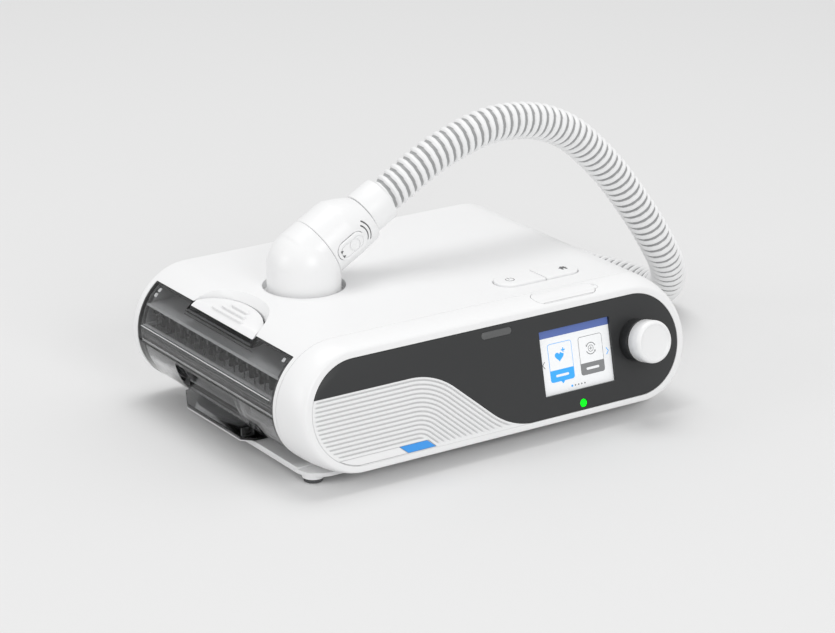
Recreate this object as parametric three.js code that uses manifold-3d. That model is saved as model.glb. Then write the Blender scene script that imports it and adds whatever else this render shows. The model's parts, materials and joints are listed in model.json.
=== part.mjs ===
// Bedside non-invasive ventilator with its humidifier chamber, elbow and breathing hose.
// Millimetres, +Z up. The assembly is drawn about the middle of its leaning front panel and
// set down at the end with its feet on Z = 0 and the middle of its footprint on the origin.
import * as THREE from "three";
import { mergeVertices } from "three/addons/utils/BufferGeometryUtils.js";
import Module from "manifold-3d";

// Fits and tolerances
const gap = 0.3;
const overrun = 2;
const weld = 0.0005;
const wall = 2.5;

// Housing
const bodyHalfWidth = 155.4;
const bodyHalfHeight = 42;
const bodyBackY = 218;
const seamY = 27.5;
const backEdgeRadius = 4;
const shellSplitHeight = 12;
const shellSplitZ = shellSplitHeight - bodyHalfHeight;
const frontLean = THREE.MathUtils.degToRad(12.68);
const rimSideDraw = 6.9;
const rimTopDraw = 4;
const rimHalfWidth = bodyHalfWidth - rimSideDraw;
const rimHalfHeight = bodyHalfHeight - rimTopDraw;
const panelSideBorder = 3.7;
const panelTopBorder = 3.4;
const panelHalfWidth = rimHalfWidth - panelSideBorder;
const panelHalfHeight = rimHalfHeight - panelTopBorder;
const panelPocketDepth = 2.2;
const frontWall = 5;

// The bay in the housing's left end that takes the chamber
const bayFrontY = 31.5;
const bayBackY = 210;
const bayWidth = 63.4;
const bayRoof = 9;
const bayFloor = 1.4;
const bayInnerX = bayWidth - bodyHalfWidth;
const bayCeilingZ = bodyHalfHeight - bayRoof;
const bayFloorZ = bayFloor - bodyHalfHeight;

// Base plate and feet
const plateInset = 15.4;
const plateHalfWidth = bodyHalfWidth - plateInset;
const plateNarrowing = 17.5;
const plateNarrowY = 170;
const plateFrontY = 12;
const plateBackY = 212;
const plateCornerRadius = 18;
const plateDrop = 3;
const plateBite = 1;
const plateBottomZ = -bodyHalfHeight - plateDrop;
const plateTopZ = plateBite - bodyHalfHeight;
const footRadius = 6.25;
const footHeight = 2.7;
const footInset = 9;
const footBackInset = 38;
const footX = plateHalfWidth - footInset;
const footBackX = plateHalfWidth - footBackInset;
const footFrontY = 23;
const footBackY = 196;
const footBossRadius = 7.4;
const footBossHeight = 2;
const footStudRadius = 2.5;
const footStudLength = 3;
const screwInset = 22;
const screwLeftX = bayInnerX + screwInset;
const screwRightX = plateHalfWidth - screwInset;
const screwFrontY = 44;
const screwBackY = 198;
const screwHeadRadius = 2.8;
const screwHeadHeight = 1.6;
const screwShankRadius = 1.5;
const screwLength = 9;
const screwPostRadius = 4.5;

// Front panel
const lensThickness = 1.9;
const windowBand = 21.3;
const swooshV = panelHalfHeight - windowBand;
const swooshBendU = -70;
const swooshRadius = 50;
const swooshDrop = panelHalfHeight + swooshV;
const swooshTurn = THREE.MathUtils.degToRad(41.2);
const grooveCount = 14;
const groovePitch = 2.87;
const grooveFirst = 2;
const grooveWidth = 1.15;
const grooveDepth = 1;
const grooveEndMargin = 1.4;
const labelInset = 14.8;
const labelLift = 0.6;
const labelHeight = 5.7;
const labelLength = 46;
const labelLeftU = labelInset - panelHalfWidth;
const labelBottomV = labelLift - panelHalfHeight;
const labelTopV = labelBottomV + labelHeight;
const tabLength = 21;
const tabLeftU = labelLeftU + labelLength;
const tabRightU = tabLeftU + tabLength;
const tabSlant = 6;
const labelThickness = 0.8;

// Screen, lamp and light sensor
const screenInset = 83.5;
const screenU = panelHalfWidth - screenInset;
const screenV = 1.5;
const screenWidth = 57.6;
const screenHeight = 43.6;
const screenRecess = 2.6;
const screenFrame = 3;
const screenThickness = 3.2;
const boardThickness = 1.6;
const boardMargin = 5;
const lampOffset = 0.7;
const lampLift = 4.6;
const lampU = screenU + lampOffset;
const lampV = lampLift - panelHalfHeight;
const lampRadius = 2.6;
const lampLength = 4;
const sensorU = -0.4;
const sensorDrop = 5.4;
const sensorV = panelHalfHeight - sensorDrop;
const sensorWidth = 23.3;
const sensorHeight = 4.3;

// Rotary knob
const knobU = panelHalfWidth - panelHalfHeight;
const knobV = 3.5;
const skirtRadius = 14.3;
const skirtHeight = 9;
const skirtNeckRadius = 11;
const skirtNeckHeight = 2.4;
const knobRadius = 14.4;
const knobBottom = 10.2;
const knobTop = 21.6;
const knobEdge = 2.2;
const knobRoof = 2.6;
const knobBoreRadius = 12.2;
const knobTravel = 0.6;
const shaftRadius = 3;
const shaftLength = 30;
const encoderWidth = 13;
const encoderDepth = 6;
const plungerRadius = 2;
const plungerLength = 2.4;

// Top buttons
const buttonInset = 57.9;
const buttonBarLength = 65.5;
const powerLength = 34;
const buttonRightX = bodyHalfWidth - buttonInset;
const buttonLeftX = buttonRightX - buttonBarLength;
const buttonFrontY = 43;
const buttonBackY = 64;
const buttonSplitX = buttonLeftX + powerLength;
const buttonRise = 1.6;
const buttonTravel = 0.6;
const buttonSkirt = 6;
const buttonBevel = 0.8;
const switchSize = 6;
const switchHeight = 3.4;
const buttonBoardMargin = 12;

// Card door
const doorInset = 69.4;
const doorLength = 49;
const doorRightX = bodyHalfWidth - doorInset;
const doorLeftX = doorRightX - doorLength;
const doorFrontY = 11.3;
const doorBackY = 25.5;
const doorCornerRadius = 6.5;
const doorThickness = 2.4;
const notchRadius = 3.6;
const notchDepth = 1.8;
const cardPocketDepth = 11.4;
const cardPocketMargin = 2.6;
const socketDepth = 26;
const socketWall = 1.5;
const cardWidth = 24;
const cardLength = 32;
const cardThickness = 2.1;

// Humidifier chamber
const chamberWall = 2.4;
const lidBottomZ = -6;
const rimWidth = 3;
const rimHeight = 9;
const sealHeight = 2.4;
const finCount = 12;
const finPitch = 12.9;
const finFrontMargin = 16.5;
const finFirstY = bayFrontY + finFrontMargin;
const finThickness = 1.2;
const finHeadroom = 16;
const finTopZ = bayCeilingZ - finHeadroom;
const finOuterInset = 9.4;
const finInnerInset = 6;
const finOuterX = finOuterInset - bodyHalfWidth;
const finInnerX = bayInnerX - finInnerInset;
const finRailWidth = 3;
const gripStandOff = 20.6;
const gripLift = 19.6;
const gripCentreX = -bodyHalfWidth - gripStandOff;
const gripCentreZ = bayFloorZ + gripLift;
const gripRadius = 33;
const gripFrontY = 82;
const gripBackY = 160;
const lipFrontY = 80;
const lipBackY = 180;
const lipInset = 7.4;
const lipReach = 28;
const lipOuterX = lipInset - bodyHalfWidth;
const lipInnerX = bayInnerX - lipReach;
const lipBottomZ = bayFloorZ + gap;
const lipThickness = 2.8;
const lipEdge = 0.8;
const lipTopZ = lipBottomZ + lipThickness;
const lipTaper = 12;

// Chamber latch
const scoopY = 119;
const scoopInset = 13.4;
const scoopEdgeX = scoopInset - bodyHalfWidth;
const scoopReach = 29;
const scoopFloorReach = 24.5;
const scoopShelfDrop = 5.5;
const scoopDepth = 15;
const scoopShelfZ = bodyHalfHeight - scoopShelfDrop;
const scoopHalfLength = 41;
const scoopFloorZ = bodyHalfHeight - scoopDepth;
const latchReach = 23.5;
const latchHalfLength = 40;
const latchThickness = 2.6;
const latchDrop = 11.4;
const latchShelfDrop = 14.1;
const latchFrontZ = bodyHalfHeight - latchDrop;
const latchSlope = THREE.MathUtils.degToRad(10);
const latchBarCount = 3;
const latchBarPitch = 5;
const latchBarWidth = 1.6;
const latchBarHeight = 0.6;
const latchBarFirst = 5;
const latchBarLength = 38;
const latchBarStep = 9;
const latchShelfZ = bodyHalfHeight - latchShelfDrop;
const latchFootReach = 21.5;
const latchFootX = scoopEdgeX + latchFootReach;
const latchFootWidth = 2;
const latchFootZ = latchShelfZ + gap;

// Heater
const heaterLength = 120;
const heaterWidth = 27;
const heaterThickness = 1.6;
const heaterInset = 16;
const heaterX = bayInnerX - heaterInset;

// Air outlet and elbow
const portInset = 18;
const portX = bayInnerX + portInset;
const portY = 125;
const portRecessRadius = 28;
const portRecessDepth = 5.4;
const collarRadius = 13.2;
const collarBore = 10.5;
const collarFlange = 15;
const collarFlangeHeight = 2;
const sealRadius = 14.8;
const sealDrop = 2;
const sealBottomZ = bodyHalfHeight - sealDrop;
const portSealHeight = 3;
const elbowRadius = 25;
const elbowRise = 14;
const elbowCentreZ = bodyHalfHeight + elbowRise;
const elbowTilt = THREE.MathUtils.degToRad(30);
const elbowBore = 10.5;
const elbowSocketBore = 15.2;
const elbowSocketRise = 7;
const elbowSocketTopZ = bodyHalfHeight + elbowSocketRise;
const elbowSeam = 14;
const outletRadius = 22.4;
const outletRise = 3.4;
const outletFull = 35.7;
const outletEnd = 53;
const outletMouthRadius = 17.4;
const outletEdge = 1.6;
const releaseStart = 16.8;
const releaseEnd = 39.5;
const releaseHalfWidth = 6.4;
const releaseRise = 1;
const releaseDrop = 1;
const releaseDepth = 5;
const releaseTravel = 1.2;
const releasePad = 4;
const spigotRadius = 12.6;
const spigotLength = 8;
const cuffRadius = 15.7;
const cuffLength = 18;
const cuffBore = 9.4;

// Breathing hose
const hoseRadius = 13;
const hoseValley = 11.3;
const hoseBore = 9.5;
const hoseSides = 8;
const hoseRibs = 112;
const boreStride = 5;
const endCuffLength = 44;
const endCuffRadius = 12.6;
const endCuffBore = 11;
const endCuffLipRadius = 13;
const endCuffLipLength = 6;

// Rear: air inlet and power inlet
const filterInset = 71.4;
const filterDrop = 34;
const filterX = bodyHalfWidth - filterInset;
const filterZ = bodyHalfHeight - filterDrop;
const filterWidth = 66;
const filterHeight = 40;
const filterCorner = 6;
const filterCoverDepth = 4;
const filterLouvreCount = 6;
const filterLouvrePitch = 5;
const filterLouvreHeight = 2.2;
const filterLouvreMargin = 7;
const filterPocketDepth = 10;
const filterThickness = 5;
const filterFrame = 3;
const inletX = 6;
const inletZ = -4;
const inletRadius = 6;
const inletBore = 3.2;
const inletPin = 1;
const inletDepth = 14;
const inletFlange = 8;
const inletFlangeHeight = 1.5;

// Blower and boards
const blowerX = 30;
const blowerY = 150;
const blowerRadius = 33;
const blowerLift = 6;
const blowerBottomZ = blowerLift - bodyHalfHeight;
const blowerHeight = 30;
const blowerWall = 2.2;
const blowerEye = 12;
const impellerRadius = 27;
const impellerHeight = 9;
const impellerBladeCount = 6;
const impellerBladeWidth = 1.4;
const impellerHub = 7;
const motorRadius = 13;
const motorHeight = 11;
const motorShaftRadius = 1.5;
const ductRadius = 11;
const ductBore = 9;
const ductLift = 20;
const ductZ = blowerBottomZ + ductLift;
const inletPortY = 165;
const inletPortDrop = 17;
const inletPortZ = bayCeilingZ - inletPortDrop;
const ductRun = 18;
const ductSteps = 8;
const ductSides = 8;
const mainBoardLeftX = screwLeftX;
const mainBoardRightX = screwRightX;
const mainBoardFrontY = 40;
const mainBoardBackY = 100;
const mainBoardZ = shellSplitZ;
const postRadius = 3;

// Colours
const white = 0xf4f5f6;
const softWhite = 0xe9ebec;
const charcoal = 0x3f4141;
const black = 0x222426;
const smoke = 0x55585b;
const rubber = 0x5b5c5e;
const blue = 0x3f9bf0;
const screenBlue = 0x6071aa;
const metal = 0xb4b7ba;
const board = 0x2f6b46;
const hoseGrey = 0xdadcdd;

const wasm = await Module();
wasm.setup();

// Solids

/** A closed three.js geometry as a solid that can be cut and joined. */
function solidOf(geometry) {
  const bare = geometry.clone();
  bare.deleteAttribute("normal");
  bare.deleteAttribute("uv");
  const merged = mergeVertices(bare, weld);
  return new wasm.Manifold(
    new wasm.Mesh({
      numProp: 3,
      vertProperties: new Float32Array(merged.attributes.position.array),
      triVerts: new Uint32Array(merged.index.array),
    }),
  );
}

/** A solid's surface as a three.js geometry. */
function geometryOf(solid) {
  const mesh = solid.getMesh();
  return new THREE.BufferGeometry()
    .setAttribute("position", new THREE.BufferAttribute(mesh.vertProperties, mesh.numProp))
    .setIndex(new THREE.BufferAttribute(mesh.triVerts, 1))
    .toNonIndexed();
}

const join = (...solids) => solids.reduce((a, b) => a.add(b));
const cut = (solid, ...tools) => tools.reduce((a, b) => a.subtract(b), solid);
const meet = (...solids) => solids.reduce((a, b) => a.intersect(b));

// Outlines

/** A stadium: a bar with half-round ends. */
function stadium(halfWidth, halfHeight) {
  const reach = halfWidth - halfHeight;
  const shape = new THREE.Shape();
  shape.moveTo(-reach, -halfHeight);
  shape.lineTo(reach, -halfHeight);
  shape.absarc(reach, 0, halfHeight, -Math.PI / 2, Math.PI / 2, false);
  shape.lineTo(-reach, halfHeight);
  shape.absarc(-reach, 0, halfHeight, Math.PI / 2, (3 * Math.PI) / 2, false);
  return shape;
}

/** A rectangle between two corners, with rounded corners. */
function roundedBox(left, low, right, high, radius) {
  const shape = new THREE.Shape();
  shape.moveTo(left + radius, low);
  shape.absarc(right - radius, low + radius, radius, -Math.PI / 2, 0, false);
  shape.absarc(right - radius, high - radius, radius, 0, Math.PI / 2, false);
  shape.absarc(left + radius, high - radius, radius, Math.PI / 2, Math.PI, false);
  shape.absarc(left + radius, low + radius, radius, Math.PI, (3 * Math.PI) / 2, false);
  return shape;
}

/** A polygon through [x, y] pairs. */
const polygon = (points) => new THREE.Shape(points.map(([x, y]) => new THREE.Vector2(x, y)));

/** A full circle. */
const disc = (x, y, radius) => new THREE.Shape().absarc(x, y, radius, 0, 2 * Math.PI, false);

// Prisms along the axes and square to the front panel

const alongY = new THREE.Matrix4().makeBasis(
  new THREE.Vector3(1, 0, 0),
  new THREE.Vector3(0, 0, 1),
  new THREE.Vector3(0, -1, 0),
);
const panelNormal = new THREE.Vector3(0, -Math.cos(frontLean), Math.sin(frontLean));
const panelUp = new THREE.Vector3(0, Math.sin(frontLean), Math.cos(frontLean));
const offPanel = new THREE.Matrix4().makeBasis(new THREE.Vector3(1, 0, 0), panelUp, panelNormal);

/** An outline extruded between two depths, with an optional bevel inside the outline. */
function prismGeometry(shape, from, to, bevel = 0, segments = 3) {
  const geometry = new THREE.ExtrudeGeometry(shape, {
    depth: to - from - 2 * bevel,
    bevelEnabled: bevel > 0,
    bevelThickness: bevel,
    bevelSize: bevel,
    bevelOffset: -bevel,
    bevelSegments: 2,
    curveSegments: segments,
  });
  return geometry.translate(0, 0, from + bevel);
}

/** An outline in X and Y, extruded along Z. */
const prismZ = (shape, from, to, bevel = 0, segments = 3) =>
  solidOf(prismGeometry(shape, from, to, bevel, segments));

/** An outline in X and Z, extruded along Y. */
const prismY = (shape, from, to, bevel = 0, segments = 3) =>
  solidOf(prismGeometry(shape, -to, -from, bevel, segments).applyMatrix4(alongY));

/** An outline in the panel's u and v, extruded along the panel's outward normal. */
const prismPanel = (shape, from, to, bevel = 0, segments = 3) =>
  solidOf(prismGeometry(shape, from, to, bevel, segments).applyMatrix4(offPanel));

/** A box between two corners. */
function block(low, high) {
  const size = high.map((value, axis) => value - low[axis]);
  const middle = high.map((value, axis) => (value + low[axis]) / 2);
  return solidOf(new THREE.BoxGeometry(...size).translate(...middle));
}

/** A turned piece from [radius, height] pairs, about +Z at the origin; a hollow one is closed here. */
function turned(profile, segments = 24) {
  const points = profile.map(([radius, height]) => new THREE.Vector2(radius, height));
  if (profile[0][0] > 0) points.push(points[0]);
  return new THREE.LatheGeometry(points, segments).rotateX(Math.PI / 2);
}

/** A solid cylinder standing on Z = from. */
const pin = (radius, from, to, segments = 16) =>
  turned([[0, from], [radius, from], [radius, to], [0, to]], segments);

/** A pipe standing on Z = from. */
const pipe = (inner, outer, from, to, segments = 20) =>
  turned([[inner, from], [outer, from], [outer, to], [inner, to]], segments);

/** A closed solid through rings of the same number of points, listed from its low end up. */
function loft(rings) {
  const count = rings[0].length;
  const positions = [];
  const triangle = (a, b, c) => positions.push(...a.toArray(), ...b.toArray(), ...c.toArray());
  for (let k = 0; k < rings.length - 1; k += 1) {
    for (let i = 0; i < count; i += 1) {
      const j = (i + 1) % count;
      triangle(rings[k][i], rings[k][j], rings[k + 1][j]);
      triangle(rings[k][i], rings[k + 1][j], rings[k + 1][i]);
    }
  }
  const first = rings[0];
  const last = rings[rings.length - 1];
  for (let i = 1; i < count - 1; i += 1) {
    triangle(first[0], first[i + 1], first[i]);
    triangle(last[0], last[i], last[i + 1]);
  }
  return new THREE.BufferGeometry().setAttribute(
    "position",
    new THREE.Float32BufferAttribute(positions, 3),
  );
}

/** A stadium's points on a plane that leans back about X through (0, y, 0). */
function leaningStadium(halfWidth, halfHeight, y, lean, segments = 14) {
  const points = [];
  const reach = halfWidth - halfHeight;
  for (const side of [1, -1]) {
    for (let i = 0; i <= segments; i += 1) {
      const angle = (-0.5 + i / segments) * Math.PI;
      const u = side * (reach + halfHeight * Math.cos(angle));
      const v = side * halfHeight * Math.sin(angle);
      points.push(new THREE.Vector3(u, y + v * Math.sin(lean), v * Math.cos(lean)));
    }
  }
  return points.reverse();
}

// Housing

const parts = new THREE.Group();

/** Adds one named piece to the assembly. */
function add(name, solid, colour, roughness = 0.45, metalness = 0, extra = {}) {
  const material = new THREE.MeshStandardMaterial({ color: colour, roughness, metalness, ...extra });
  const mesh = new THREE.Mesh(solid.isBufferGeometry ? solid : geometryOf(solid), material);
  mesh.name = name;
  parts.add(mesh);
  return mesh;
}

const farX = bodyHalfWidth + overrun;
const farZ = bodyHalfHeight + overrun;
const endX = bodyHalfWidth - bodyHalfHeight;

/** The front cover's skin: it swells from the leaning rim to the upright seam. */
function coverLoft(inset, front, past, arc = 14) {
  const steps = 5;
  const rings = [];
  for (let k = 0; k <= steps; k += 1) {
    const turn = (k / steps) * (Math.PI / 2);
    const depth = 1 - Math.cos(turn);
    const swell = Math.sin(turn);
    rings.push(
      leaningStadium(
        rimHalfWidth + (bodyHalfWidth - rimHalfWidth) * swell - inset,
        rimHalfHeight + (bodyHalfHeight - rimHalfHeight) * swell - inset,
        front + (seamY - front) * depth,
        frontLean * (1 - depth),
        arc,
      ),
    );
  }
  if (past > 0) {
    rings.push(
      leaningStadium(bodyHalfWidth - inset, bodyHalfHeight - inset, seamY + past, 0, arc),
    );
  }
  return solidOf(loft(rings));
}

/** The main housing's skin from the seam back, with a rounded rear edge. */
function housingLoft(inset, from, back, radius, arc = 14) {
  const steps = 3;
  const rings = [leaningStadium(bodyHalfWidth - inset, bodyHalfHeight - inset, from, 0, arc)];
  for (let k = 0; k <= steps; k += 1) {
    const turn = (k / steps) * (Math.PI / 2);
    const pull = inset + radius * (1 - Math.cos(turn));
    const y = back - radius + radius * Math.sin(turn);
    rings.push(leaningStadium(bodyHalfWidth - pull, bodyHalfHeight - pull, y, 0, arc));
  }
  return solidOf(loft(rings));
}

// The swoosh that parts the dark window from the grooved field, moved square to itself
function swoosh(offset, farU = 0) {
  const points = [[-panelHalfWidth - overrun, swooshV - offset]];
  const steps = 3;
  for (let i = 0; i <= steps; i += 1) {
    const turn = (i / steps) * swooshTurn;
    const radius = swooshRadius - offset;
    points.push([
      swooshBendU + radius * Math.sin(turn),
      swooshV - swooshRadius + radius * Math.cos(turn),
    ]);
  }
  const fall = swooshDrop - 2 * swooshRadius * (1 - Math.cos(swooshTurn));
  const run = 2 * swooshRadius * Math.sin(swooshTurn) + fall / Math.tan(swooshTurn);
  const bottomU = swooshBendU + run;
  for (let i = steps; i >= 0; i -= 1) {
    const turn = (i / steps) * swooshTurn;
    const radius = swooshRadius + offset;
    points.push([
      bottomU - radius * Math.sin(turn),
      swooshRadius - panelHalfHeight - radius * Math.cos(turn),
    ]);
  }
  if (farU > 0) points.push([farU, swooshRadius - panelHalfHeight - (swooshRadius + offset)]);
  return points;
}

const belowV = -panelHalfHeight - swooshRadius;
const belowSwoosh = (offset) =>
  polygon([
    ...swoosh(offset, panelHalfWidth + overrun),
    [panelHalfWidth + overrun, belowV],
    [-panelHalfWidth - overrun, belowV],
  ]);

const screenLow = [screenU - screenWidth / 2, screenV - screenHeight / 2];
const screenHigh = [screenU + screenWidth / 2, screenV + screenHeight / 2];
const screenWindow = roundedBox(...screenLow, ...screenHigh, gap);
const offPanelAt = (u, v) =>
  new THREE.Matrix4()
    .makeTranslation(u, panelUp.y * v, panelUp.z * v)
    .multiply(offPanel);
const onPanel = (geometry, u, v) => solidOf(geometry.clone().applyMatrix4(offPanelAt(u, v)));
const sensorShape = (grow) => {
  const shape = stadium(sensorWidth / 2 + grow, sensorHeight / 2 + grow);
  return prismGeometry(shape, -frontWall - overrun, -panelPocketDepth + lensThickness - gap, 0, 4);
};

function addFrontCover() {
  const pocket = prismPanel(
    stadium(panelHalfWidth, panelHalfHeight), -panelPocketDepth, overrun, 0, 9,
  );
  const cavity = coverLoft(wall, frontWall, overrun, 8);
  const screenHole = prismPanel(
    roundedBox(
      screenLow[0] - screenFrame, screenLow[1] - screenFrame,
      screenHigh[0] + screenFrame, screenHigh[1] + screenFrame, screenFrame / 2,
    ), -frontWall - overrun, overrun,
  );
  const shaftHole = onPanel(pin(shaftRadius + 2 * gap, -frontWall - overrun, overrun), knobU, knobV);
  const lampHole = onPanel(pin(lampRadius + gap, -frontWall - overrun, overrun), lampU, lampV);
  const sensorHole = onPanel(sensorShape(gap), sensorU, sensorV);
  const door = cardDoorParts();
  const cover = join(cut(coverLoft(0, 0, 0), cavity), door.well);
  add(
    "front_cover",
    cut(
      cover, pocket, screenHole, shaftHole, lampHole, sensorHole, door.opening, door.pocket,
      door.slot,
    ), white,
  );
  add("card_door", door.flap, white);
}

const cardX = (doorLeftX + doorRightX) / 2;
const cardY = (doorFrontY + doorBackY) / 2;
const cardFloorZ = bodyHalfHeight - cardPocketDepth;

/** A box about the card's place, from its half size and its two heights. */
const cardBlock = (halfX, halfY, low, high) =>
  block([cardX - halfX, cardY - halfY, low], [cardX + halfX, cardY + halfY, high]);

/** The card door's flap, the opening it closes and the pocket with its slot behind it. */
function cardDoorParts() {
  const outline = (grow) =>
    roundedBox(
      doorLeftX - grow, doorFrontY - grow, doorRightX + grow, doorBackY + grow,
      doorCornerRadius + grow,
    );
  const skin = coverLoft(0, 0, 0);
  const flap = cut(
    meet(skin, prismZ(outline(0), 0, farZ)),
    coverLoft(doorThickness, doorThickness, overrun),
  );
  const notch = solidOf(
    pin(notchRadius, bodyHalfHeight - notchDepth, farZ).translate(doorRightX, cardY, 0),
  );
  const bed = coverLoft(doorThickness + gap, doorThickness + gap, overrun);
  const opening = join(cut(prismZ(outline(gap), 0, farZ), bed), notch);
  const halfX = (doorRightX - doorLeftX) / 2;
  const halfY = (doorBackY - doorFrontY) / 2;
  const well = meet(
    cardBlock(halfX + wall, halfY + wall / 2, cardFloorZ - wall, bodyHalfHeight),
    coverLoft(wall / 2, 0, 0),
  );
  const pocket = cardBlock(
    halfX - cardPocketMargin, halfY - cardPocketMargin, cardFloorZ, bodyHalfHeight,
  );
  const slot = cardBlock(
    cardWidth / 2 + gap, cardThickness / 2 + gap, cardFloorZ - wall - overrun, bodyHalfHeight,
  );
  return { flap, opening, well, pocket: meet(pocket, coverLoft(doorThickness, 0, 0)), slot };
}

function addFrontPanel() {
  const bottom = -panelPocketDepth + gap;
  const field = prismPanel(
    stadium(panelHalfWidth - gap, panelHalfHeight - gap), bottom, bottom + lensThickness, 0, 9,
  );
  const below = prismPanel(belowSwoosh(gap / 2), -frontWall, overrun);
  const above = prismPanel(belowSwoosh(-gap / 2), -frontWall, overrun);
  const window = prismPanel(screenWindow, -frontWall, overrun);
  const lampHole = onPanel(pin(lampRadius + gap, -frontWall, overrun), lampU, lampV);
  const shaftHole = onPanel(pin(shaftRadius + 2 * gap, -frontWall, overrun), knobU, knobV);
  const sensorHole = onPanel(sensorShape(gap).translate(0, 0, lensThickness), sensorU, sensorV);
  add("front_window", cut(field, above, window, lampHole, shaftHole, sensorHole), charcoal, 0.35);

  const clip = prismPanel(
    stadium(panelHalfWidth - grooveEndMargin, panelHalfHeight - grooveEndMargin),
    -frontWall, overrun, 0, 9,
  );
  const grooves = [];
  for (let i = 0; i < grooveCount; i += 1) {
    const middle = grooveFirst + i * groovePitch;
    const strip = polygon([
      ...swoosh(middle - grooveWidth / 2),
      ...swoosh(middle + grooveWidth / 2).reverse(),
    ]);
    grooves.push(meet(prismPanel(strip, bottom + lensThickness - grooveDepth, overrun), clip));
  }
  const band = (left, right, leftSlant, margin) =>
    polygon([
      [left + leftSlant, labelBottomV + margin], [right + tabSlant, labelBottomV + margin],
      [right, labelTopV - margin], [left, labelTopV - margin],
    ]);
  const labelPocket = (margin, low) =>
    prismPanel(band(labelLeftU - margin, tabRightU + 3 * gap + margin, 0, -margin), low, overrun);
  const label = labelPocket(0, bottom + lensThickness - labelThickness);
  const labelBorder = labelPocket(grooveEndMargin, bottom);
  const grille = meet(field, below);
  add("grooved_panel", cut(grille, ...grooves.map((groove) => cut(groove, labelBorder)), label), white);

  const plateBottom = bottom + lensThickness - labelThickness + gap;
  const plateTop = bottom + lensThickness;
  const plaque = prismPanel(band(labelLeftU + gap, tabLeftU - 2 * gap, 0, gap), plateBottom, plateTop);
  add("label_plate", meet(plaque, field), softWhite);
  add(
    "colour_tab", prismPanel(band(tabLeftU, tabRightU, tabSlant, gap), plateBottom, plateTop), blue,
  );
}

function addScreen() {
  const front = -screenRecess;
  const slim = screenFrame - gap;
  const panel = prismPanel(
    roundedBox(
      screenLow[0] - slim, screenLow[1] - slim, screenHigh[0] + slim, screenHigh[1] + slim,
      screenFrame / 2,
    ), front - screenThickness, front,
  );
  add("screen_panel", panel, screenBlue, 0.2);
  const back = front - screenThickness - gap;
  const boardShape = roundedBox(
    screenLow[0] - boardMargin, screenLow[1] - boardMargin,
    knobU + encoderWidth, screenHigh[1] + boardMargin, boardMargin / 2,
  );
  const shaftHole = onPanel(
    pin(shaftRadius + 2 * gap, back - boardThickness - overrun, back + overrun), knobU, knobV,
  );
  add(
    "display_board",
    cut(prismPanel(boardShape, back - boardThickness, back), shaftHole), board, 0.6,
  );
  const lampTop = -panelPocketDepth + lensThickness + gap;
  add(
    "status_lamp",
    onPanel(
      turned([
        [0, lampTop - lampLength], [lampRadius, lampTop - lampLength],
        [lampRadius, lampTop - gap], [lampRadius - gap, lampTop], [0, lampTop],
      ], 20), lampU, lampV,
    ), 0x7fc98a, 0.2,
  );
  add(
    "sensor_window",
    onPanel(
      prismGeometry(
        stadium(sensorWidth / 2, sensorHeight / 2),
        -frontWall, -panelPocketDepth + lensThickness, 0, 4,
      ), sensorU, sensorV,
    ), smoke, 0.3,
  );
}

function addKnob() {
  const base = -panelPocketDepth + lensThickness + 2 * gap;
  const back = -screenRecess - screenThickness - gap - boardThickness;
  const skirt = turned([
    [shaftRadius + 2 * gap, base], [skirtRadius, base], [skirtRadius, skirtHeight],
    [skirtNeckRadius, skirtHeight], [skirtNeckRadius, skirtHeight + skirtNeckHeight],
    [shaftRadius + 2 * gap, skirtHeight + skirtNeckHeight],
  ]);
  add("knob_skirt", onPanel(skirt, knobU, knobV), black, 0.4);
  const shaftTop = knobTop - knobRoof - gap;
  const sleeveLow = skirtHeight + skirtNeckHeight + knobTravel + gap;
  const cap = turned([
    [0, shaftTop], [shaftRadius + gap, shaftTop], [shaftRadius + gap, sleeveLow],
    [shaftRadius + wall, sleeveLow],
    [shaftRadius + wall, knobTop - knobRoof], [knobBoreRadius, knobTop - knobRoof],
    [knobBoreRadius, knobBottom], [knobRadius, knobBottom], [knobRadius, knobTop - knobEdge],
    [knobRadius - knobEdge / 3, knobTop - knobEdge / 3], [knobRadius - knobEdge, knobTop],
    [0, knobTop],
  ], 24);
  add("knob_cap", onPanel(cap, knobU, knobV), white, 0.4);
  const shaftBottom = shaftTop - gap - shaftLength;
  add(
    "knob_shaft",
    onPanel(pin(shaftRadius, shaftBottom, shaftTop - gap), knobU, knobV), metal, 0.3, 0.9,
  );
  const encoderTop = back - gap;
  const half = encoderWidth / 2;
  const housing = cut(
    prismPanel(
      roundedBox(knobU - half, knobV - half, knobU + half, knobV + half, 2 * gap),
      shaftBottom - encoderDepth, encoderTop,
    ),
    onPanel(
      pin(shaftRadius + gap, shaftBottom - plungerLength - 2 * gap - knobTravel, overrun),
      knobU, knobV,
    ),
  );
  add("encoder_body", housing, metal, 0.4, 0.6);
  add(
    "encoder_plunger",
    onPanel(
      pin(plungerRadius, shaftBottom - gap - plungerLength + knobTravel, shaftBottom - gap),
      knobU, knobV,
    ), black,
  );
}

// Main housing

const bayBox = (grow) =>
  block(
    [-farX, bayFrontY - grow, bayFloorZ - grow],
    [bayInnerX + grow, bayBackY + grow, bayCeilingZ + grow],
  );

/** The thumb recess's outline at one height: half an ellipse that opens to the left end. */
function thumbRing(reach, halfLength, z) {
  const steps = 12;
  const points = [new THREE.Vector3(-farX, scoopY - halfLength, z)];
  for (let i = 0; i <= steps; i += 1) {
    const turn = (i / steps - 0.5) * Math.PI;
    points.push(
      new THREE.Vector3(
        scoopEdgeX + reach * Math.cos(turn), scoopY + halfLength * Math.sin(turn), z,
      ),
    );
  }
  points.push(new THREE.Vector3(-farX, scoopY + halfLength, z));
  return points;
}

const filterOutline = (grow) =>
  roundedBox(
    filterX - filterWidth / 2 - grow, filterZ - filterHeight / 2 - grow,
    filterX + filterWidth / 2 + grow, filterZ + filterHeight / 2 + grow, filterCorner + grow,
  );

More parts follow.
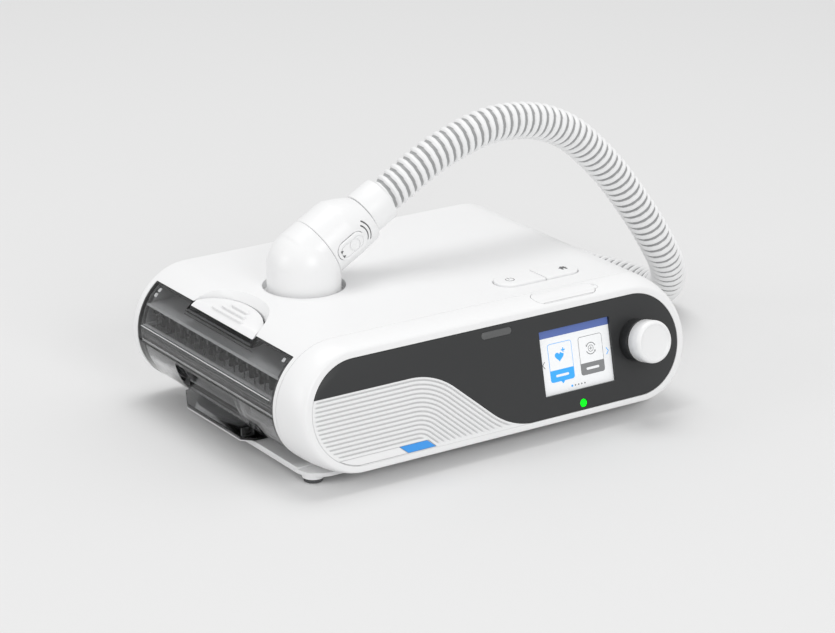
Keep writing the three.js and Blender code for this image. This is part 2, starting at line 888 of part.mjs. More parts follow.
/** The two clamshells before they are parted: skin, cavity, chamber bay and openings. */
function housingShell() {
  const skin = housingLoft(0, seamY + gap, bodyBackY, backEdgeRadius);
  const cavity = meet(
    housingLoft(wall, seamY - overrun, bodyBackY - wall, backEdgeRadius - wall / 2, 8),
    block([bayInnerX + wall, -farX, -farZ], [farX, bodyBackY, farZ]),
  );
  const bay = bayBox(0);
  const plateBar = (halfWidth, backY) =>
    prismZ(
      roundedBox(-halfWidth, plateFrontY, halfWidth, backY, plateCornerRadius),
      plateBottomZ, plateTopZ, 0, 6,
    );
  const plate = join(
    plateBar(plateHalfWidth, plateNarrowY), plateBar(plateHalfWidth - plateNarrowing, plateBackY),
  );
  const underCover = block([-farX, -farX, -bodyHalfHeight - gap], [farX, seamY + gap, farZ]);
  const bosses = footPlaces().map(([x, y]) =>
    solidOf(pin(footBossRadius, plateBottomZ - footBossHeight, plateTopZ, 12).translate(x, y, 0)),
  );
  return cut(join(skin, cut(join(plate, ...bosses), underCover)), cavity, bay);
}

function footPlaces() {
  return [
    [-footX, footFrontY], [footX, footFrontY], [-footBackX, footBackY], [footBackX, footBackY],
  ];
}

function screwPlaces() {
  return [
    [screwLeftX, screwFrontY], [screwRightX, screwFrontY],
    [screwLeftX, screwBackY], [screwRightX, screwBackY],
  ];
}

const buttonWell = (grow) => {
  const halfHeight = (buttonBackY - buttonFrontY) / 2;
  const halfWidth = (buttonRightX - buttonLeftX) / 2;
  const middle = [(buttonLeftX + buttonRightX) / 2, (buttonFrontY + buttonBackY) / 2];
  return prismGeometry(
    stadium(halfWidth + grow, halfHeight + grow), -buttonSkirt, buttonRise, grow ? 0 : buttonBevel, 7,
  ).translate(middle[0], middle[1], bodyHalfHeight);
};

function addHousing() {
  const shell = housingShell();
  const recess = solidOf(
    pin(portRecessRadius, bodyHalfHeight - portRecessDepth, farZ, 28).translate(portX, portY, 0),
  );
  const collarHole = solidOf(pin(collarRadius + gap, 0, farZ, 24).translate(portX, portY, 0));
  const scoop = solidOf(
    loft([
      thumbRing(scoopFloorReach, scoopHalfLength, scoopFloorZ),
      thumbRing(scoopFloorReach, scoopHalfLength, scoopShelfZ),
      thumbRing(scoopReach, scoopHalfLength, bodyHalfHeight),
      thumbRing(scoopReach, scoopHalfLength, farZ),
    ]),
  );
  const well = solidOf(buttonWell(gap));
  const upper = block([-farX, 0, shellSplitZ + gap / 2], [farX, bodyBackY + overrun, farZ]);
  const top = join(meet(shell, upper), ...topBosses());
  add("top_shell", cut(top, recess, collarHole, scoop, well, ...rearOpenings()), white);

  const holes = [
    ...footPlaces().map(([x, y]) =>
      solidOf(
        pin(
          footStudRadius + gap, footTopZ - overrun, footTopZ + footStudLength + gap, 12,
        ).translate(x, y, 0),
      ),
    ),
    ...screwPlaces().map(([x, y]) =>
      solidOf(
        turned([
          [0, plateBottomZ - overrun], [screwHeadRadius + gap, plateBottomZ - overrun],
          [screwHeadRadius + gap, plateBottomZ + screwHeadHeight + gap],
          [screwShankRadius + gap, plateBottomZ + screwHeadHeight + gap],
          [screwShankRadius + gap, plateBottomZ + screwLength + 2 * gap],
          [0, plateBottomZ + screwLength + 2 * gap],
        ], 8).translate(x, y, 0),
      ),
    ),
  ];
  const posts = screwPlaces().map(([x, y]) =>
    solidOf(pin(screwPostRadius, plateTopZ, plateBottomZ + screwLength + 4 * gap, 8).translate(x, y, 0)),
  );
  const lower = block(
    [-farX, 0, plateBottomZ - footBossHeight - overrun],
    [farX, bodyBackY + overrun, shellSplitZ - gap / 2],
  );
  const heaterBed = heaterBlock(gap, bayFloorZ + overrun);
  const bottom = join(meet(shell, lower), ...posts, ...boardPosts());
  add("bottom_shell", cut(bottom, heaterBed, ...holes), white);

  for (const [index, [x, y]] of footPlaces().entries()) {
    const name = ["front_left", "front_right", "rear_left", "rear_right"][index];
    const foot = turned([
      [0, footTopZ - footHeight], [footRadius - 2 * gap, footTopZ - footHeight],
      [footRadius, footTopZ - footHeight + 2 * gap], [footRadius, footTopZ],
      [footStudRadius, footTopZ], [footStudRadius, footTopZ + footStudLength],
      [0, footTopZ + footStudLength],
    ], 12);
    add("foot_" + name, solidOf(foot.translate(x, y, 0)), rubber, 0.8);
  }
  for (const [index, [x, y]] of screwPlaces().entries()) {
    const screw = turned([
      [0, plateBottomZ + gap], [screwHeadRadius, plateBottomZ + gap],
      [screwHeadRadius, plateBottomZ + screwHeadHeight], [screwShankRadius, plateBottomZ + screwHeadHeight],
      [screwShankRadius, plateBottomZ + screwLength], [0, plateBottomZ + screwLength],
    ], 8);
    add("base_screw_" + (index + 1), solidOf(screw.translate(x, y, 0)), metal, 0.35, 0.9);
  }
}


const footTopZ = plateBottomZ - footBossHeight - gap;
const floorZ = -bodyHalfHeight + wall;
const standZ = footTopZ - footHeight;
const capBottomZ = bodyHalfHeight - buttonSkirt;
const switchTopZ = capBottomZ - buttonTravel - gap;
const buttonBoardTopZ = switchTopZ - switchHeight - gap;
const buttonMiddleY = (buttonFrontY + buttonBackY) / 2;

/** A turned piece that points out of the rear at the power inlet. */
const atInlet = (geometry) =>
  solidOf(geometry.clone().rotateX(-Math.PI / 2).translate(inletX, 0, inletZ));

/** Bosses inside the top shell: the cup under the elbow, the filter frame and the board posts. */
function topBosses() {
  const cup = pin(
    portRecessRadius + wall, bodyHalfHeight - portRecessDepth - wall, bodyHalfHeight - wall / 2, 16,
  ).translate(portX, portY, 0);
  const frame = prismY(
    filterOutline(wall), bodyBackY - filterPocketDepth - wall, bodyBackY - wall / 2, 0, 4,
  );
  const socket = atInlet(
    pin(inletRadius + gap + wall, bodyBackY - inletDepth, bodyBackY - wall / 2),
  );
  const posts = [buttonLeftX - postRadius * 2, buttonRightX + postRadius * 2].map((x) =>
    solidOf(
      pin(postRadius, buttonBoardTopZ + gap, bodyHalfHeight - wall / 2, 8)
        .translate(x, buttonMiddleY, 0),
    ),
  );
  return [solidOf(cup), frame, socket, ...posts];
}

/** The openings through the rear wall, and the air hole between the housing and the chamber. */
function rearOpenings() {
  return [
    prismY(filterOutline(0), bodyBackY - filterPocketDepth, bodyBackY + overrun, 0, 4),
    prismY(
      filterOutline(-filterFrame), bodyBackY - filterPocketDepth - wall - overrun, bodyBackY, 0, 4,
    ),
    atInlet(pin(inletRadius + gap, bodyBackY - inletDepth - overrun, bodyBackY)),
    atInlet(pin(inletFlange + gap, bodyBackY - inletFlangeHeight, bodyBackY + overrun)),
    inletHole(bayInnerX - overrun, bayInnerX + wall + overrun),
    block(
      [bayInnerX - overrun, portY - collarBore, outletDuctLowZ + wall],
      [bayInnerX + wall + overrun, portY + collarBore, outletDuctTopZ - wall],
    ),
  ];
}

/** A round bar along X at the blower outlet's height. */
const blowerBar = (radius, fromX, toX) =>
  solidOf(pin(radius, fromX, toX).rotateY(Math.PI / 2).translate(0, blowerY, ductZ));

/** The round hole by which air enters the chamber. */
const inletHole = (fromX, toX) =>
  solidOf(pin(ductBore, fromX, toX).rotateY(Math.PI / 2).translate(0, inletPortY, inletPortZ));

const outletDuctTopZ = bodyHalfHeight - portRecessDepth - wall - collarFlangeHeight - gap;
const outletDuctLowZ = outletDuctTopZ - 2 * collarBore;

/** Posts on the floor that carry the main board. */
function boardPosts() {
  return [mainBoardLeftX + screwPostRadius * 2, mainBoardRightX - screwPostRadius * 3].flatMap((x) =>
    [mainBoardFrontY + screwPostRadius, mainBoardBackY - screwPostRadius].map((y) =>
      solidOf(pin(postRadius, plateTopZ, mainBoardZ - gap, 8).translate(x, y, 0)),
    ),
  );
}

function addButtons() {
  const caps = solidOf(buttonWell(0));
  const sides = {
    power_button: block(
      [-farX, 0, 0], [buttonSplitX - gap / 2, bodyBackY, farZ],
    ),
    home_button: block(
      [buttonSplitX + gap / 2, 0, 0], [farX, bodyBackY, farZ],
    ),
  };
  for (const [name, side] of Object.entries(sides)) add(name, meet(caps, side), white);
  const middles = {
    power_switch: (buttonLeftX + buttonSplitX) / 2,
    home_switch: (buttonSplitX + buttonRightX) / 2,
  };
  const half = switchSize / 2;
  for (const [name, x] of Object.entries(middles)) {
    const base = block(
      [x - half, buttonMiddleY - half, switchTopZ - switchHeight],
      [x + half, buttonMiddleY + half, switchTopZ - switchHeight / 2],
    );
    const dome = solidOf(
      pin(half / 2, switchTopZ - switchHeight / 2 - gap, switchTopZ, 16)
        .translate(x, buttonMiddleY, 0),
    );
    add(name, join(base, dome), black);
  }
  add(
    "button_board",
    block(
      [buttonLeftX - buttonBoardMargin, buttonFrontY, buttonBoardTopZ - boardThickness],
      [buttonRightX + buttonBoardMargin, buttonBackY, buttonBoardTopZ],
    ), board, 0.6,
  );
}

function addCardSocket() {
  const top = cardFloorZ - wall - gap;
  const bottom = top - socketDepth;
  const halfX = cardWidth / 2;
  const halfY = cardThickness / 2;
  const socket = cut(
    cardBlock(halfX + gap + socketWall, halfY + gap + socketWall, bottom, top),
    cardBlock(halfX + gap, halfY + gap, bottom + socketWall, top + overrun),
  );
  add("card_socket", socket, black);
  const cardBottom = bottom + socketWall + gap;
  add("memory_card", cardBlock(halfX, halfY, cardBottom, cardBottom + cardLength), blue);
}

// Humidifier chamber

/** A straight prism of the housing's stadium, drawn in by an inset, between two depths. */
const stadiumBar = (inset, from, to) =>
  solidOf(
    loft([from, to].map((y) =>
      leaningStadium(bodyHalfWidth - inset, bodyHalfHeight - inset, y, 0))),
  );

const chamberFrontY = bayFrontY + gap;
const chamberBackY = bayBackY - gap;
const chamberInnerX = bayInnerX - gap;
const rimTopZ = lidBottomZ + rimHeight;

/** The room inside the chamber's walls, drawn in further by a clearance. */
const chamberRoom = (clearance, low, high) => {
  const inset = chamberWall + clearance;
  return meet(
    stadiumBar(gap + inset, chamberFrontY + inset, chamberBackY - inset),
    block([-farX, 0, low], [chamberInnerX - inset, bodyBackY, high]),
  );
};

function addChamber() {
  const skin = stadiumBar(gap, chamberFrontY, chamberBackY);
  const latchShelf = solidOf(
    loft([
      thumbRing(scoopFloorReach + gap, scoopHalfLength + gap, latchShelfZ),
      thumbRing(scoopFloorReach + gap, scoopHalfLength + gap, farZ),
    ]),
  );
  const shelfUnder = solidOf(
    loft([
      thumbRing(scoopFloorReach + chamberWall, scoopHalfLength + chamberWall, latchShelfZ - chamberWall),
      thumbRing(scoopFloorReach + chamberWall, scoopHalfLength + chamberWall, farZ),
    ]),
  );
  const lidTop = bayCeilingZ - gap;
  const body = meet(skin, block([-farX, 0, lidBottomZ], [chamberInnerX, bodyBackY, lidTop]));
  const outlet = block(
    [chamberInnerX - chamberWall - overrun, portY - collarBore, outletDuctLowZ + wall],
    [chamberInnerX + overrun, portY + collarBore, outletDuctTopZ - wall],
  );
  const lidRoom = cut(chamberRoom(0, lidBottomZ - overrun, lidTop - chamberWall), shelfUnder);
  const inlet = inletHole(chamberInnerX - chamberWall - overrun, chamberInnerX + overrun);
  add("chamber_lid", cut(body, latchShelf, lidRoom, outlet, inlet), smoke, 0.15, 0, glass);

  const tubTop = lidBottomZ - gap;
  const grip = (grow) =>
    meet(
      prismY(
        disc(gripCentreX, gripCentreZ, gripRadius + grow), gripFrontY - grow, gripBackY + grow, 0, 24,
      ),
      block([-farX, 0, -farZ], [farX, bodyBackY, tubTop - chamberWall + grow]),
    );
  const tubBody = meet(
    skin, block([-farX, 0, bayFloorZ + gap], [chamberInnerX, bodyBackY, tubTop]),
  );
  const rim = cut(
    chamberRoom(gap, tubTop - chamberWall, rimTopZ),
    chamberRoom(rimWidth, tubTop - chamberWall - overrun, rimTopZ + overrun),
  );
  const room = cut(
    chamberRoom(rimWidth, bayFloorZ + gap + chamberWall, rimTopZ + overrun), grip(chamberWall),
  );
  const lipProfile = polygon([
    [lipInnerX, lipBottomZ], [lipOuterX, lipBottomZ], [lipOuterX, lipTopZ - lipEdge],
    [lipOuterX + lipEdge, lipTopZ], [lipInnerX, lipTopZ],
  ]);
  const lipPlan = prismZ(
    polygon([
      [lipInnerX, lipFrontY], [lipOuterX + lipTaper / 2, lipFrontY], [lipOuterX, lipFrontY + lipTaper / 2],
      [lipOuterX, lipBackY - 2 * lipTaper], [lipOuterX + lipTaper, lipBackY], [lipInnerX, lipBackY],
    ]), lipBottomZ - overrun, 0,
  );
  const lip = meet(prismY(lipProfile, lipFrontY - overrun, lipBackY + overrun), lipPlan);
  const tub = cut(join(cut(tubBody, grip(0)), rim, lip), room);
  add("chamber_tub", tub, smoke, 0.2, 0, glass);

  add(
    "chamber_seal",
    cut(
      chamberRoom(gap, rimTopZ + gap, rimTopZ + gap + sealHeight),
      chamberRoom(rimWidth, rimTopZ - overrun, rimTopZ + sealHeight + overrun),
    ), softWhite, 0.7,
  );
  const combLow = rimTopZ + sealHeight + 2 * gap;
  const comb = [];
  for (let i = 0; i < finCount; i += 1) {
    const y = finFirstY + i * finPitch;
    comb.push(block([finOuterX, y, combLow], [finInnerX, y + finThickness, finTopZ]));
  }
  comb.push(
    block(
      [finInnerX - finRailWidth, chamberFrontY + chamberWall + 2 * gap, combLow],
      [finInnerX, chamberBackY - chamberWall - 2 * gap, combLow + finRailWidth],
    ),
  );
  const combRoom = cut(chamberRoom(gap, combLow, finTopZ), shelfUnder);
  add("chamber_fins", meet(join(...comb), combRoom), smoke, 0.3);
}

const glass = { transparent: true, opacity: 0.55 };

function addLatch() {
  const frontX = -endX - Math.sqrt((bodyHalfHeight - gap) ** 2 - latchFrontZ ** 2);
  const rise = (x) => latchFrontZ + (x - frontX) * Math.tan(latchSlope);
  const farIn = scoopEdgeX + scoopReach;
  const slab = prismY(
    polygon([
      [-farX, rise(-farX)], [farIn, rise(farIn)],
      [farIn, rise(farIn) + latchThickness], [-farX, rise(-farX) + latchThickness],
    ]), bayFrontY, bayBackY,
  );
  const outline = solidOf(
    loft([
      thumbRing(latchReach, latchHalfLength, 0),
      thumbRing(latchReach, latchHalfLength, farZ),
    ]),
  );
  const bars = [];
  for (let i = 0; i < latchBarCount; i += 1) {
    const x = frontX + latchBarFirst + i * latchBarPitch;
    const half = (latchBarLength - i * latchBarStep) / 2;
    bars.push(
      block(
        [x, scoopY - half, rise(x)],
        [x + latchBarWidth, scoopY + half, rise(x) + latchThickness + latchBarHeight],
      ),
    );
  }
  const foot = block(
    [latchFootX - latchFootWidth / 2, scoopY - latchBarLength / 2 + latchBarStep, latchFootZ],
    [latchFootX + latchFootWidth / 2, scoopY + latchBarLength / 2 - latchBarStep, rise(latchFootX) + gap],
  );
  const skin = stadiumBar(gap, bayFrontY, bayBackY);
  add("chamber_latch", meet(join(slab, ...bars, foot), outline, skin), white);
}

/** The heater plate's box, grown by a clearance at its sides and underneath. */
function heaterBlock(grow, top) {
  const middleY = (bayFrontY + bayBackY) / 2;
  return block(
    [
      heaterX - heaterWidth / 2 - grow, middleY - heaterLength / 2 - grow,
      bayFloorZ - heaterThickness - grow,
    ],
    [heaterX + heaterWidth / 2 + grow, middleY + heaterLength / 2 + grow, top],
  );
}

// Air path and elbow

const elbowCentre = new THREE.Vector3(portX, portY, elbowCentreZ);
const outletFrame = new THREE.Matrix4()
  .makeTranslation(...elbowCentre.toArray())
  .multiply(new THREE.Matrix4().makeRotationY(Math.PI / 2 - elbowTilt));
const outletAxis = new THREE.Vector3(Math.cos(elbowTilt), 0, Math.sin(elbowTilt));
const onOutlet = (geometry) => solidOf(geometry.clone().applyMatrix4(outletFrame));
const onPort = (geometry) => solidOf(geometry.clone().translate(portX, portY, 0));
const elbowBottomZ = bodyHalfHeight - portRecessDepth + gap;
const cuffStart = outletEnd + gap;
const cuffEnd = cuffStart + cuffLength;

/** A circle in the outlet's frame, raised off its axis. */
function outletRing(along, radius, rise, segments = 24) {
  const points = [];
  for (let i = 0; i < segments; i += 1) {
    const turn = (i / segments) * 2 * Math.PI;
    points.push(
      new THREE.Vector3(radius * Math.cos(turn) - rise, radius * Math.sin(turn), along),
    );
  }
  return points;
}

function addElbow() {
  const collarTop = elbowSocketTopZ - wall;
  add(
    "outlet_collar",
    onPort(turned([
      [collarBore, outletDuctTopZ], [collarFlange, outletDuctTopZ],
      [collarFlange, outletDuctTopZ + collarFlangeHeight],
      [collarRadius, outletDuctTopZ + collarFlangeHeight],
      [collarRadius, collarTop], [collarBore, collarTop],
    ])), black,
  );
  add(
    "outlet_seal",
    onPort(pipe(collarRadius + gap, sealRadius, sealBottomZ, sealBottomZ + portSealHeight)), rubber, 0.8,
  );
  const duct = block(
    [bayInnerX + wall + gap, portY - collarBore - wall, outletDuctLowZ],
    [portX + collarBore + wall, portY + collarBore + wall, outletDuctTopZ - gap],
  );
  const ductRoom = block(
    [bayInnerX, portY - collarBore, outletDuctLowZ + wall],
    [portX + collarBore, portY + collarBore, outletDuctTopZ - wall],
  );
  const ductMouth = onPort(pin(collarBore, outletDuctTopZ - wall - gap, outletDuctTopZ + gap));
  add("outlet_duct", cut(duct, ductRoom, ductMouth), softWhite);

  const upright = onPort(pin(elbowRadius, elbowBottomZ, elbowCentreZ, 24));
  const dome = solidOf(
    new THREE.SphereGeometry(elbowRadius, 24, 12)
      .rotateX(Math.PI / 2)
      .translate(...elbowCentre.toArray()),
  );
  const sleeve = solidOf(
    loft([outletRing(0, outletRadius, outletRise), outletRing(elbowSeam, outletRadius, outletRise)])
      .applyMatrix4(outletFrame),
  );
  const outlet = onOutlet(pin(elbowBore, 0, outletEnd + cuffLength));
  const past = onOutlet(
    new THREE.BoxGeometry(farX, farX, farX).translate(0, 0, elbowSeam + farX / 2),
  );
  const socket = onPort(pin(elbowSocketBore, elbowBottomZ - overrun, elbowSocketTopZ));
  const riser = onPort(pin(elbowBore, elbowSocketTopZ - overrun, elbowCentreZ));
  const heart = solidOf(
    new THREE.SphereGeometry(elbowBore, 12, 6)
      .rotateX(Math.PI / 2)
      .translate(...elbowCentre.toArray()),
  );
  const below = block(
    [portX - farZ, portY - farZ, -farZ], [portX + farZ, portY + farZ, elbowBottomZ],
  );
  add(
    "elbow_base",
    cut(join(upright, dome, sleeve), below, past, outlet, socket, riser, heart), white,
  );

  const full = outletRadius - outletRise;
  const mouthRise = outletMouthRadius - full;
  const shell = solidOf(
    loft([
      outletRing(elbowSeam + gap, outletRadius, outletRise),
      outletRing(outletFull, outletRadius, outletRise),
      outletRing(
        (outletFull + outletEnd) / 2, (outletRadius + outletMouthRadius + outletEdge) / 2,
        (outletRise + mouthRise + outletEdge) / 2,
      ),
      outletRing(outletEnd - outletEdge, outletMouthRadius, mouthRise),
      outletRing(outletEnd, outletMouthRadius - outletEdge, mouthRise),
    ]).applyMatrix4(outletFrame),
  );
  const spigotHole = onOutlet(
    pin(spigotRadius + gap, outletEnd - spigotLength - gap, outletEnd + overrun, 24),
  );
  const pill = (grow, from, to) =>
    prismGeometry(
      roundedBox(
        -releaseHalfWidth - releaseDrop - grow, releaseStart - grow,
        releaseHalfWidth - releaseDrop + grow, releaseEnd + grow, releaseHalfWidth,
      ), from, to, 0, 4,
    ).applyMatrix4(alongY).applyMatrix4(outletFrame);
  const face = outletRadius + releaseRise;
  const well = solidOf(pill(gap, face - releaseDepth - releaseTravel - gap, face + overrun));
  add("elbow_outlet", cut(shell, outlet, spigotHole, well), white);
  const pad = prismGeometry(
    disc(-releaseDrop, (releaseStart + releaseEnd) / 2, releasePad), face - gap, face + gap, 0, 7,
  ).applyMatrix4(alongY).applyMatrix4(outletFrame);
  add(
    "elbow_release", join(solidOf(pill(0, face - releaseDepth, face)), solidOf(pad)), softWhite,
  );

  add(
    "hose_cuff",
    onOutlet(turned([
      [cuffBore, cuffStart - spigotLength], [spigotRadius, cuffStart - spigotLength],
      [spigotRadius, cuffStart], [cuffRadius - gap, cuffStart], [cuffRadius, cuffStart + gap],
      [cuffRadius, cuffEnd - gap], [cuffRadius - gap, cuffEnd], [cuffBore, cuffEnd],
    ])), softWhite,
  );
}

// Breathing hose

const hoseStart = elbowCentre.clone().addScaledVector(outletAxis, cuffEnd + gap);
const layZ = standZ + endCuffLipRadius + gap;

/** The hose's course: out of the cuff, over and down to the floor, then folded behind the housing. */
function hoseRoute() {
  const straight = [0, hoseRadius, 2 * hoseRadius].map((along) =>
    hoseStart.clone().addScaledVector(outletAxis, along),
  );
  const air = [
    [31, 125, 115.5], [71, 125, 128], [96, 125.5, 128.5], [121, 126.5, 123.5],
    [145, 127.5, 112], [165, 128, 95.5], [184, 128, 76], [200, 128, 56], [216, 128.5, 34.5],
    [231, 131, 13], [244, 137, -5], [254, 147, -22], [259, 160, -33],
  ];
  const lying = [
    [259, 176], [254.5, 199], [246.5, 226], [240, 255], [237, 290],
    [229.1, 325], [207, 355.3], [172, 372.8], [140, 375], [75, 375],
    [0, 375], [-49.5, 354.5], [-70, 305], [-49.5, 255.5], [0, 235],
    [75, 235], [150, 235], [188.5, 251], [204.5, 289.5], [188.5, 328],
    [150, 344], [105, 344], [60, 344], [34, 344],
  ];
  return new THREE.CatmullRomCurve3(
    [
      ...straight,
      ...air.map(([x, y, z]) => new THREE.Vector3(x, y, z)),
      ...lying.map(([x, y]) => new THREE.Vector3(x, y, layZ)),
    ],
    false,
    "centripetal",
  );
}

/** A tube along a curve, with an outer radius for each step and a bore ring every few steps. */
function tubeAlong(curve, steps, sides, outer, bore, stride) {
  const frames = curve.computeFrenetFrames(steps, false);
  const ring = (index, radius) => {
    const centre = curve.getPointAt(index / steps);
    const points = [];
    for (let i = 0; i < sides; i += 1) {
      const turn = (i / sides) * 2 * Math.PI;
      points.push(
        centre.clone()
          .addScaledVector(frames.normals[index], radius * Math.cos(turn))
          .addScaledVector(frames.binormals[index], radius * Math.sin(turn)),
      );
    }
    return points;
  };
  const rings = [];
  for (let k = 0; k <= steps; k += 1) rings.push(ring(k, outer(k)));
  for (let k = steps; k >= 0; k -= stride) rings.push(ring(k, bore));
  rings.push(rings[0]);
  const positions = [];
  for (let k = 0; k < rings.length - 1; k += 1) {
    for (let i = 0; i < sides; i += 1) {
      const j = (i + 1) % sides;
      const corners = [rings[k][i], rings[k][j], rings[k + 1][j], rings[k + 1][i]];
      const [a, b, c, d] = corners.map((corner) => corner.toArray());
      positions.push(...a, ...b, ...c, ...a, ...c, ...d);
    }
  }
  return new THREE.BufferGeometry().setAttribute(
    "position",
    new THREE.Float32BufferAttribute(positions, 3),
  );
}

/** The least gap between two stretches of the hose that aren't neighbours along it. */
function leastGap(curve) {
  const length = curve.getLength();
  const count = Math.round(length / hoseValley);
  const points = curve.getSpacedPoints(count);
  const apart = Math.ceil((Math.PI * 2 * hoseRadius * count) / length);
  let least = length;
  points.forEach((point, i) =>
    points.slice(i + apart).forEach((other) => {
      const room = point.distanceTo(other) - 2 * hoseRadius;
      least = Math.min(least, room);
    }),
  );
  return least;
}

function addHose() {
  const curve = hoseRoute();
  curve.arcLengthDivisions = 2 * hoseRibs * hoseSides;
  const crest = (step) => (step % 2 ? hoseRadius : hoseValley);
  add(
    "breathing_hose",
    tubeAlong(curve, 2 * hoseRibs, hoseSides, crest, hoseBore, 2 * boreStride), hoseGrey, 0.6,
  );
  const end = curve.getPointAt(1);
  const heading = curve.getTangentAt(1);
  const frame = new THREE.Matrix4()
    .makeTranslation(...end.toArray())
    .multiply(
      new THREE.Matrix4().makeRotationFromQuaternion(
        new THREE.Quaternion().setFromUnitVectors(new THREE.Vector3(0, 0, 1), heading),
      ),
    );
  const cuff = turned([
    [hoseBore, gap], [endCuffRadius, gap], [endCuffRadius, endCuffLength - endCuffLipLength],
    [endCuffLipRadius, endCuffLength - endCuffLipLength], [endCuffLipRadius, endCuffLength],
    [endCuffBore, endCuffLength], [endCuffBore, endCuffLength / 2], [hoseBore, endCuffLength / 2],
  ], 20);
  add("hose_end_cuff", solidOf(cuff.applyMatrix4(frame)), softWhite);
  console.log(
    "hose length " + curve.getLength().toFixed(0) + " mm, least gap to itself " +
      leastGap(curve).toFixed(1) + " mm",
  );
}

// Rear pieces

function addRear() {
  const inner = bodyBackY - filterCoverDepth;
  const louvres = [];
  const first = filterZ - ((filterLouvreCount - 1) * filterLouvrePitch) / 2;
  for (let i = 0; i < filterLouvreCount; i += 1) {
    const z = first + i * filterLouvrePitch;
    const half = filterWidth / 2 - filterLouvreMargin;
    louvres.push(
      block(
        [filterX - half, inner - overrun, z - filterLouvreHeight / 2],
        [filterX + half, bodyBackY + overrun, z + filterLouvreHeight / 2],
      ),
    );
  }
  const back = housingLoft(0, seamY + gap, bodyBackY, backEdgeRadius);
  add(
    "filter_cover",
    cut(meet(prismY(filterOutline(-gap), inner, bodyBackY, 0, 4), back), ...louvres), white,
  );
  add(
    "inlet_filter",
    prismY(filterOutline(-2 * gap), inner - gap - filterThickness, inner - gap, 0, 4), hoseGrey, 0.95,
  );
  const inside = bodyBackY - inletDepth + gap;
  const flange = bodyBackY - inletFlangeHeight + gap;
  const socket = turned([
    [0, inside], [inletRadius, inside], [inletRadius, flange], [inletFlange, flange],
    [inletFlange, bodyBackY], [inletBore, bodyBackY], [inletBore, inside + wall],
    [inletPin, inside + wall], [inletPin, bodyBackY - 2 * inletFlangeHeight],
    [0, bodyBackY - 2 * inletFlangeHeight],
  ], 12);
  add("power_inlet", atInlet(socket), black, 0.4);
}

// Blower and boards

function addInside() {
  const top = blowerBottomZ + blowerHeight;
  const atBlower = (geometry) => solidOf(geometry.clone().translate(blowerX, blowerY, 0));
  const pads = [0, 1, 2].map((i) => {
    const turn = (i / 3) * 2 * Math.PI;
    return solidOf(
      pin(postRadius, floorZ + gap, blowerBottomZ + gap, 8).translate(
        blowerX + (blowerRadius - postRadius) * Math.cos(turn),
        blowerY + (blowerRadius - postRadius) * Math.sin(turn), 0,
      ),
    );
  });
  const nozzleEnd = blowerX - blowerRadius - wall;
  const nozzle = blowerBar(ductRadius, nozzleEnd, blowerX - blowerRadius / 2);
  const nozzleBore = blowerBar(ductBore, nozzleEnd - overrun, blowerX - blowerRadius / 2 - wall);
  const drum = atBlower(pin(blowerRadius, blowerBottomZ, top, 16));
  const room = atBlower(
    pin(blowerRadius - blowerWall, blowerBottomZ + blowerWall, top - blowerWall, 16),
  );
  const eye = atBlower(pin(blowerEye, top - blowerWall - overrun, top + overrun));
  add("blower_case", cut(join(drum, nozzle, ...pads), room, eye, nozzleBore), black, 0.5);

  const motorTop = blowerBottomZ + blowerWall + gap + motorHeight;
  const wheelBottom = motorTop + gap;
  add(
    "blower_motor",
    atBlower(turned([
      [0, blowerBottomZ + blowerWall + gap], [motorRadius, blowerBottomZ + blowerWall + gap],
      [motorRadius, motorTop], [motorShaftRadius, motorTop],
      [motorShaftRadius, wheelBottom + impellerHeight / 2], [0, wheelBottom + impellerHeight / 2],
    ], 16)), metal, 0.35, 0.8,
  );
  const plate = pipe(
    motorShaftRadius + gap, impellerRadius, wheelBottom, wheelBottom + impellerBladeWidth, 16,
  );
  const hub = turned([
    [motorShaftRadius + gap, wheelBottom], [impellerHub, wheelBottom],
    [impellerHub, wheelBottom + impellerHeight / 2 + gap + impellerBladeWidth],
    [0, wheelBottom + impellerHeight / 2 + gap + impellerBladeWidth],
    [0, wheelBottom + impellerHeight / 2 + gap],
    [motorShaftRadius + gap, wheelBottom + impellerHeight / 2 + gap],
  ], 16);
  const blades = [];
  for (let i = 0; i < impellerBladeCount; i += 1) {
    const blade = new THREE.BoxGeometry(
      impellerRadius - impellerHub, impellerBladeWidth, impellerHeight,
    )
      .translate((impellerRadius - impellerHub) / 2, 0, wheelBottom + impellerHeight / 2)
      .rotateZ(-Math.PI / 5)
      .translate(impellerHub - gap, 0, 0)
      .rotateZ((i / impellerBladeCount) * 2 * Math.PI);
    blades.push(atBlower(blade));
  }
  const reach = atBlower(pin(impellerRadius, wheelBottom, wheelBottom + impellerHeight, 16));
  add(
    "blower_impeller",
    join(atBlower(plate), atBlower(hub), meet(join(...blades), reach)), softWhite,
  );

  const ductStart = bayInnerX + wall + gap;
  const ductCourse = new THREE.CatmullRomCurve3([
    new THREE.Vector3(ductStart, inletPortY, inletPortZ),
    new THREE.Vector3(ductStart + ductRun / 2, inletPortY, inletPortZ),
    new THREE.Vector3(ductStart + ductRun, inletPortY, inletPortZ),
    new THREE.Vector3(nozzleEnd - ductRun, blowerY, ductZ),
    new THREE.Vector3(nozzleEnd - ductRun / 2, blowerY, ductZ),
    new THREE.Vector3(nozzleEnd - gap, blowerY, ductZ),
  ]);
  add(
    "air_duct",
    tubeAlong(ductCourse, ductSteps, ductSides, () => ductRadius, ductBore, 1), softWhite,
  );
  add(
    "main_board",
    block(
      [mainBoardLeftX, mainBoardFrontY, mainBoardZ],
      [mainBoardRightX, mainBoardBackY, mainBoardZ + boardThickness],
    ), board, 0.6,
  );
}

addFrontCover();
addFrontPanel();
addScreen();
addKnob();
addHousing();
addButtons();
addCardSocket();
addChamber();
addLatch();
add("heater_plate", heaterBlock(0, bayFloorZ), metal, 0.35, 0.9);
addElbow();
addRear();
addInside();
addHose();

